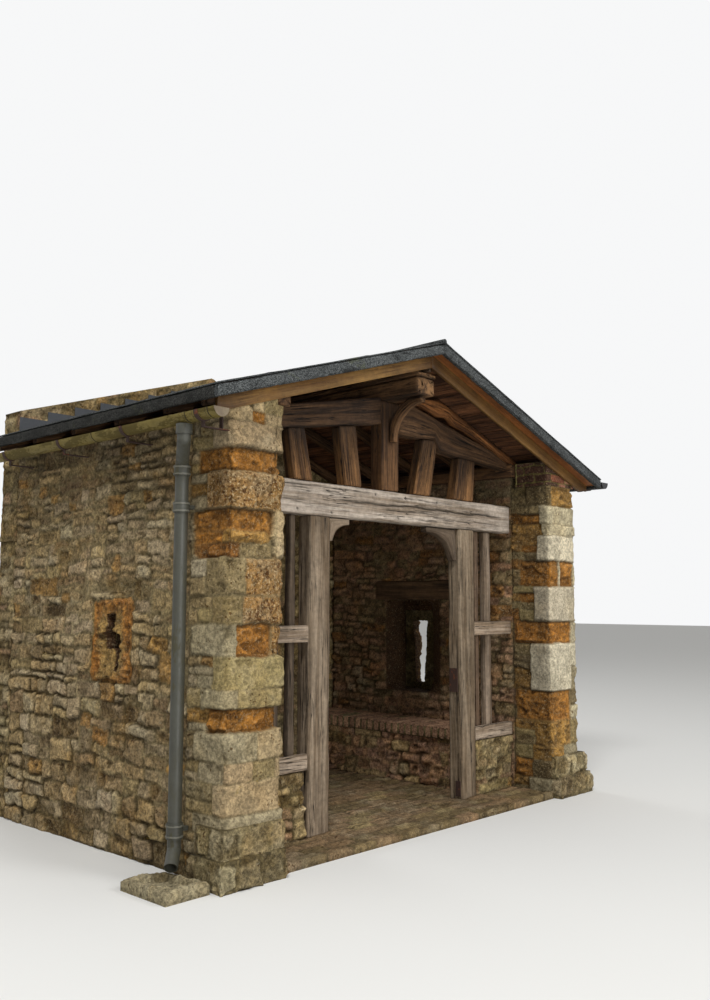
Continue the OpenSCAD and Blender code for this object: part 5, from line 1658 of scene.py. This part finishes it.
def build_covering(s):
    """Felt on one slope of the roof with its laps, and the bands along its verge and eaves"""
    x_ridge, lap_pitch = s * RIDGE_X, 0.86

    def sheet(a, b, c):
        x = x_ridge + (EAVE_X - x_ridge) * (b + 1) / 2
        y = VERGE_Y + (REAR_Y - VERGE_Y) * a
        from_lap = (x - x_ridge) % lap_pitch
        lap = 0.003 * (1 - smooth(from_lap, 0.0, 0.03)) + 0.002 * (1 - from_lap / lap_pitch)
        cup = 0.0035 * fractal(x, y, 0.5, 3) + 0.0012 * fractal(x, y, 0.08, 5)
        z = roof_z(s, x, 0.006) + 0.006 * c - (c > 0) * (0.006 - np.clip(lap + cup + 0.002, -0.002, 0.006))
        return np.stack([s * x, y, z], -1)

    def eaves(a, b, c):
        x = EAVE_X - BAND_T / 2 + BAND_T / 2 * b
        y = VERGE_Y + BAND_T + (REAR_Y - VERGE_Y - BAND_T) * a
        top, foot = roof_z(s, x, 0.013), band_foot(s, x, y)
        return np.stack([s * x, y, foot + (top - foot) * (c + 1) / 2], -1)

    keep(bar(SIDES[s] + "_roof_felt", sheet, (2.75, 2.2, 0.012), 150 + s, FELT, step=(0.06, 0.036),
             edge=0.002, bow=0.0, ridge=0.0, wane=0.0), "roof_felt", SIDES[s] + "_roof_cover")
    front = between(s, x_ridge, EAVE_X, lambda x: roof_z(s, x, 0.012) - 0.001, lambda x: band_foot(s, x, 0),
                    VERGE_Y, VERGE_Y + BAND_T)
    bands = [bar("band", front, (2.25, BAND_T, BAND_H), 153 + s, FELT, step=(0.016, 0.010), edge=0.006,
                 bow=0.002, ridge=0.0012, wane=0.003),
             bar("eaves", eaves, (REAR_Y - VERGE_Y - BAND_T, BAND_T, BAND_H), 156 + s, FELT,
                 step=(0.03, 0.012), edge=0.005, bow=0.002, wane=0.003, tint=(0.45, 0.42, 0.38))]
    keep(join(SIDES[s] + "_verge_bands", bands), "roof_felt", SIDES[s] + "_verge")


def ridge_roll_place(a, b, c):
    """The roll of felt along the ridge"""
    angle = np.arctan2(c, b)
    r = 0.0205 + 0.0015 * fractal(a * 2.6, angle, 0.3, 4)
    size = np.maximum(np.abs(b), np.abs(c))
    x, z = np.cos(angle) * r * size, np.sin(angle) * r * size
    floor = -np.abs(x) * 0.33 - 0.004
    y = VERGE_Y + (REAR_Y - 0.150 - VERGE_Y) * a
    return np.stack([RIDGE_X + x, y, RIDGE_Z + np.maximum(z, floor)], -1)


def build_roof():
    """Timbers of the roof and its covering"""
    x_end = EAVE_X - BAND_T
    build_ridge()
    build_plates()
    for s in (WEST, EAST):
        build_rafters(s, x_end)
        build_boarding(s, x_end)
    build_barges()
    build_stone_lintels()
    for s in (WEST, EAST):
        build_covering(s)
    keep(bar("ridge_felt_roll", ridge_roll_place, (2.6, 0.044, 0.044), 160, FELT, step=(0.03, 0.004),
             edge=0.004, bow=0, ridge=0, wane=0), "roof_felt", "ridge_roll")


# Bricks, floor, feet and tray
def rough_slab(name, box_x, box_y, foot, top, step, masonry, material):
    """A closed slab whose upper face is a height field over x and y"""
    nx, ny = (max(2, int(round((b - a) / step)) + 1) for a, b in (box_x, box_y))
    x, y = np.meshgrid(np.linspace(*box_x, nx), np.linspace(*box_y, ny), indexing="ij")
    height, colour, makeup = masonry.look(x, y)
    upper = np.stack([x, y, top(x, y) + height], -1).reshape(-1, 3)
    lower = np.stack([x, y, np.full(x.shape, foot)], -1).reshape(-1, 3)
    grid = np.arange(nx * ny).reshape(nx, ny)
    rim = np.concatenate([grid[:, 0], grid[-1, 1:], grid[-2::-1, -1], grid[0, -2:0:-1]])
    under = np.arange(len(rim)) + nx * ny
    sides = np.stack([np.roll(rim, -1), rim, under, np.roll(under, -1)], -1)
    faces = grid_quads(grid).tolist() + sides.tolist() + [under[::-1].tolist()]
    tint, more = (np.vstack([rows.reshape(-1, 3), rows.reshape(-1, 3)[rim]]) for rows in (colour, makeup))
    return new_mesh(name, np.vstack([upper, lower[rim]]), faces, material,
                    {"tint": np.clip(tint, 0, 1), "makeup": more})


def paving_bricks(seed, long=0.23, wide=0.114):
    """Worn floor bricks in a plain bond, seen from above"""
    rng = np.random.default_rng(seed)
    stones = []
    for k, y in enumerate(np.arange(-0.42, 2.3, wide)):
        x = -1.6 + (k % 2) * 0.115
        while x < 1.6:
            sort = rng.choice(["brown", "floor", "tan"], p=[0.35, 0.5, 0.15])
            stones.append((x, x + long, y, y + wide, sort, rng.uniform(-0.006, 0.0)))
            x += long
    return Masonry(stones, seed, joint=0.016, dress=lambda u: 0 * u + 0.8, pointing=(0.36, 0.30, 0.22))


def build_floor():
    """Paving up to the walls, the posts and the benches"""
    masonry, across = paving_bricks(70), (-INNER_X, INNER_X)
    slabs = ((across, (PIER_Y, 0)), ((-POST_IN[WEST], POST_IN[EAST]), (0, FRAME_T)),
             (across, (FRAME_T, BENCH_Y)), ((-COPING_X, COPING_X), (BENCH_Y, REAR_Y)))
    worn = [rough_slab("paving", *slab, 0.0, level(0.056), 0.024, masonry, BRICK) for slab in slabs]
    keep(join("worn_brick_floor", worn), "rubble_stone", "floor_paving")


def build_tray():
    """The hollowed stone under the downpipe's shoe"""
    low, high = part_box("gully_tray")

    def top(x, y):
        edge = np.minimum(np.minimum(x - low.x, high.x - x), np.minimum(y - low.y, high.y - y))
        bowl = smooth(edge, 0.038, 0.056)
        corner = 1 - smooth(edge, 0.0, 0.02)
        return 0.071 - 0.042 * bowl - 0.014 * corner ** 2 + 0.003 * fractal(x, y, 0.06, 4, 3)

    plain = Masonry([(low.x - 1, high.x + 1, low.y - 1, high.y + 1, "grey", -0.002)], 71)
    keep(rough_slab("stone_gully_tray", (low.x, high.x), (low.y, high.y), 0.0, top, 0.006, plain, RUBBLE),
         "rubble_stone", "gully_tray")


def build_feet():
    """Rough footings in two courses, wrapped round the front and outer side of each pier"""
    for s in (WEST, EAST):
        tiers = []
        for k, (z0, z1, out) in enumerate(((0.0, 0.172, 0.086), (0.165, 0.335, 0.05))):
            line = [(INNER_X, -0.36), (INNER_X, PIER_Y - out), (HALF_W + out, PIER_Y - out),
                    (HALF_W + out, -0.12), (HALF_W - 0.06, -0.12)]
            if s == WEST:
                line = [(-x, y) for x, y in line[::-1]]
            seed = 80 + s + 3 * k
            stones = rubble(seed, -0.1, 1.5, z0, z1, FOOT_MIX, (0.3, 0.1, 0.3, 0.16), 0.3, (-0.022, 0.0))

            def rounded(u, z, height, colour, makeup):
                """Worn top edges"""
                return height - 0.026 * (1 - smooth(z1 - z, 0.0, 0.05)) ** 2, colour, makeup

            columns = run_of(line, 0, [0.012, 0.009, 0.009, 0.012], 0.016, 0.03)
            tiers.append(wall_piece("tier", [columns], level(z0), level(z1), 0.009,
                                    Masonry(stones, seed, joint=0.014), RUBBLE, inset=0.03, arc=0.016,
                                    extra=rounded))
        keep(join(SIDES[s] + "_footings", tiers), "rubble_stone", "pier_feet")


def build_brick_head(course=0.0725):
    """The head of the east pier, in courses of brick with headers in every other one"""
    rng = np.random.default_rng(90)
    stones = []
    for k in range(5):
        top = 2.889 - course * k
        u = CORNER - 0.36 - (k % 2) * 0.11
        while u < CORNER + 0.9:
            on_front = CORNER - 0.02 <= u <= CORNER + 0.4
            long = (0.11 if k % 2 else 0.225) if on_front else 0.222
            # Every brick on the reveal side of the corner takes the dull sort: painted shade on the reveal
            sort = rng.choice(["brick", "dull", "pink"]) if u > CORNER - 0.02 else "dull"
            stones.append((u, u + long, top - course, top, sort, rng.uniform(-0.009, -0.001)))
            u += long
    masonry = Masonry(stones, 26, joint=0.018, dress=lambda u: 0 * u + 0.9, pointing=(0.50, 0.47, 0.26))
    line = [(INNER_X, BRICK_BACK), (INNER_X, PIER_Y), (HALF_W, PIER_Y), (HALF_W, BRICK_BACK),
            (INNER_X, BRICK_BACK)]
    columns = run_of(line, CORNER - (BRICK_BACK - PIER_Y), [0.007, 0.0065, 0.008, 0.02], 0.012, power=6.0)
    piece = wall_piece("pier_brick_head", [columns], level(BRICK_Z),
                       lambda x, y: roof_z(EAST, np.abs(x), RAFTER_FOOT), 0.0065, masonry, BRICK, arc=0.012)
    keep(piece, "brick", "east_brick_head")


def brick_rows_tree():
    """Rows of loose-laid bricks: a grid of points, one brick on each, a little turned and toned"""
    net, given = node_group("brick_rows", "Geometry, Across, Along, Pitch Across, Pitch Along, Wobble, "
                            "Corner, Dark Tint, Light Tint, Seed, Material", "Geometry", "Geometry")
    grid = net.node("GeometryNodeMeshGrid", Vertices_X=given["Across"], Vertices_Y=given["Along"],
                    Size_X=(given["Across"] - 1.0) * given["Pitch Across"],
                    Size_Y=(given["Along"] - 1.0) * given["Pitch Along"])
    wobble = given["Wobble"]
    swing = net.node("CombineXYZ", None, wobble, wobble, wobble)[0]
    turn = net.node("FunctionNodeRandomValue", {"data_type": "FLOAT_VECTOR"}, net.scaled(swing, -1.0), swing,
                    Seed=given["Seed"])[0]
    laid = net.node("GeometryNodeInstanceOnPoints", Points=grid["Mesh"], Instance=given["Geometry"],
                    Rotation=turn)
    tone = net.node("FunctionNodeRandomValue", {"data_type": "FLOAT"}, Seed=given["Seed"])[1]
    blend = net.node("Mix", {"data_type": "RGBA"})
    blend[0], blend[6], blend[7] = tone, given["Dark Tint"], given["Light Tint"]
    toned = net.node("GeometryNodeStoreNamedAttribute", {"data_type": "FLOAT_COLOR", "domain": "INSTANCE"},
                     Geometry=laid[0], Name="tint", Value=blend[2])
    shifted = net.node("GeometryNodeTransform", Geometry=toned[0], Translation=given["Corner"])
    real = net.node("GeometryNodeRealizeInstances", None, shifted[0])
    painted = net.node("GeometryNodeSetMaterial", Geometry=real[0], Material=given["Material"])
    return net.result(Geometry=painted[0])


def grown(name, base, tree, values):
    """Puts a geometry tree on a mesh and returns its result as a plain mesh object"""
    modifier = base.modifiers.new("rows", "NODES")
    modifier.node_group = tree
    sockets = {item.name: item.identifier for item in tree.interface.items_tree
               if item.item_type == "SOCKET" and item.in_out == "INPUT"}
    for label, value in values.items():
        modifier[sockets[label]] = value
    bpy.context.view_layer.update()
    shape = base.evaluated_get(bpy.context.evaluated_depsgraph_get())
    mesh = bpy.data.meshes.new_from_object(shape)
    base.modifiers.remove(modifier)
    bpy.data.objects.remove(base)
    mesh.name = name
    return placed(name, mesh)


def one_brick(name, x, y, z, seed):
    """A worn brick round the origin"""
    brick = box_bar(name, (-x / 2, -y / 2, -z / 2), (x / 2, y / 2, z / 2), 0, seed, BRICK, step=(0.055, 0.03),
                    edge=0.006, bow=0.001, wane=0.003)
    layers = brick.data.attributes
    layers.remove(layers["tint"])
    layers.remove(layers["grain"])
    makeup = layers.new("makeup", "FLOAT_COLOR", "POINT")
    makeup.data.foreach_set("color", np.tile((0.0, 0.3, 0.3, 1.0), (len(brick.data.vertices), 1)).ravel())
    return brick


def build_copings(tree):
    """Brick-on-edge copings of the benches on their mortar beds"""
    bed_look = Masonry([(-9, -8, -9, -8, "grey", 0)], 72)
    for s in (WEST, EAST):
        x0, x1 = sorted((s * COPING_X, s * INNER_X))
        bed = rough_slab("bed", (x0 + 0.004, x1 - 0.004), (0.32, REAR_Y), BENCH_TOP, level(0.562), 0.03,
                         bed_look, BRICK)
        keep(bed, "brick", "bench_copings")
        bed.name = SIDES[s] + "_coping_bed"
        brick = one_brick("brick", 0.229, 0.066, 0.103, 170 + s)
        rows = grown(SIDES[s] + "_coping_bricks", brick, tree, {
            "Across": 2, "Along": 25, "Pitch Across": 0.236, "Pitch Along": 0.0762, "Wobble": 0.012,
            "Seed": 5 + s, "Corner": ((x0 + x1) / 2, 1.265, 0.5075), "Material": BRICK,
            "Dark Tint": screen(0.50, 0.38, 0.30), "Light Tint": screen(0.66, 0.52, 0.41)})
        keep(rows, "brick", "bench_copings")


build_walls()
build_front()
build_gable()
build_roof()
build_floor()
build_tray()
build_feet()
build_brick_head()
build_copings(brick_rows_tree())

for node, material in (("rear_flashing", LEAD), ("post_irons", IRON), ("gutter_irons", IRON),
                       ("east_gutter", BLACK), ("west_gutter", ALGAE), ("downpipe", GREY)):
    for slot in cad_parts[node].material_slots:
        slot.material = material

# Floor, light and camera
STAGE = bpy.data.materials.new("pale_floor")
STAGE.use_nodes = True
STAGE.node_tree.nodes["Principled BSDF"].inputs["Base Color"].default_value = screen(0.9, 0.9, 0.89)
STAGE.node_tree.nodes["Principled BSDF"].inputs["Roughness"].default_value = 0.95
corners = np.array([(-60, -60, 0), (60, -60, 0), (60, 60, 0), (-60, 60, 0)], float)
new_mesh("stage_floor", corners, [[0, 1, 2, 3]], STAGE, flat=True)

world = bpy.data.worlds.new("studio")
bpy.context.scene.world = world
world.use_nodes = True
world.node_tree.nodes.clear()
sky = Net(world.node_tree)
seen = sky.node("LightPath")
direct = sky.math("MAXIMUM", seen["Is Camera Ray"], seen["Is Glossy Ray"])
direct = sky.math("MAXIMUM", direct, seen["Is Transmission Ray"])
plain = sky.node("Background", Color=(1.0, 0.99, 0.97, 1.0), Strength=0.4)
white = sky.node("Background", Color=(0.93, 0.935, 0.94, 1.0), Strength=1.0)
blend = sky.node("MixShader", None, direct, plain[0], white[0])
sky.node("OutputWorld", Surface=blend[0])


def area_light(name, place, target, size, power):
    """A soft lamp that faces a point"""
    lamp = bpy.data.lights.new(name, "AREA")
    lamp.shape, lamp.size, lamp.energy = "DISK", size, power
    thing = placed(name, lamp)
    thing.location = place
    thing.rotation_euler = (Vector(target) - Vector(place)).to_track_quat("-Z", "Y").to_euler()


area_light("key", (3.5, -14.0, 9.5), (0, 0, 1.4), 6.0, 800)
area_light("low_fill", (-5.0, -13.0, 1.6), (0.5, 1.0, 1.5), 4.0, 580)
area_light("back_fill", (3.0, 14.0, 8.0), (0, 2.0, 1.6), 6.0, 420)
area_light("west_fill", (-5.5, -4.0, 10.0), (-2, 0.5, 1.5), 2.6, 640)

# The camera's place, its sensor and lens in millimetres, and how it is turned, tipped up and rolled
EYE, SENSOR, LENS = (-5.541, -4.734, 1.633), 36.0, 34.082
YAW, PITCH_UP, ROLL = (math.radians(v) for v in (46.843, 6.134, 0.110))
ahead = Vector((math.sin(YAW) * math.cos(PITCH_UP), math.cos(YAW) * math.cos(PITCH_UP), math.sin(PITCH_UP)))
right = Vector((math.cos(YAW), -math.sin(YAW), 0))
above = right.cross(ahead)
turned_right = right * math.cos(ROLL) + above * math.sin(ROLL)
turned_above = above * math.cos(ROLL) - right * math.sin(ROLL)
lens = bpy.data.cameras.new("camera")
lens.sensor_fit, lens.sensor_width, lens.lens, lens.clip_end = "AUTO", SENSOR, LENS, 200
camera = placed("camera", lens)
turn = Matrix((turned_right, turned_above, -ahead)).transposed().to_4x4()
camera.matrix_world = Matrix.Translation(EYE) @ turn
bpy.context.scene.camera = camera
bpy.context.scene.view_settings.view_transform = "Standard"
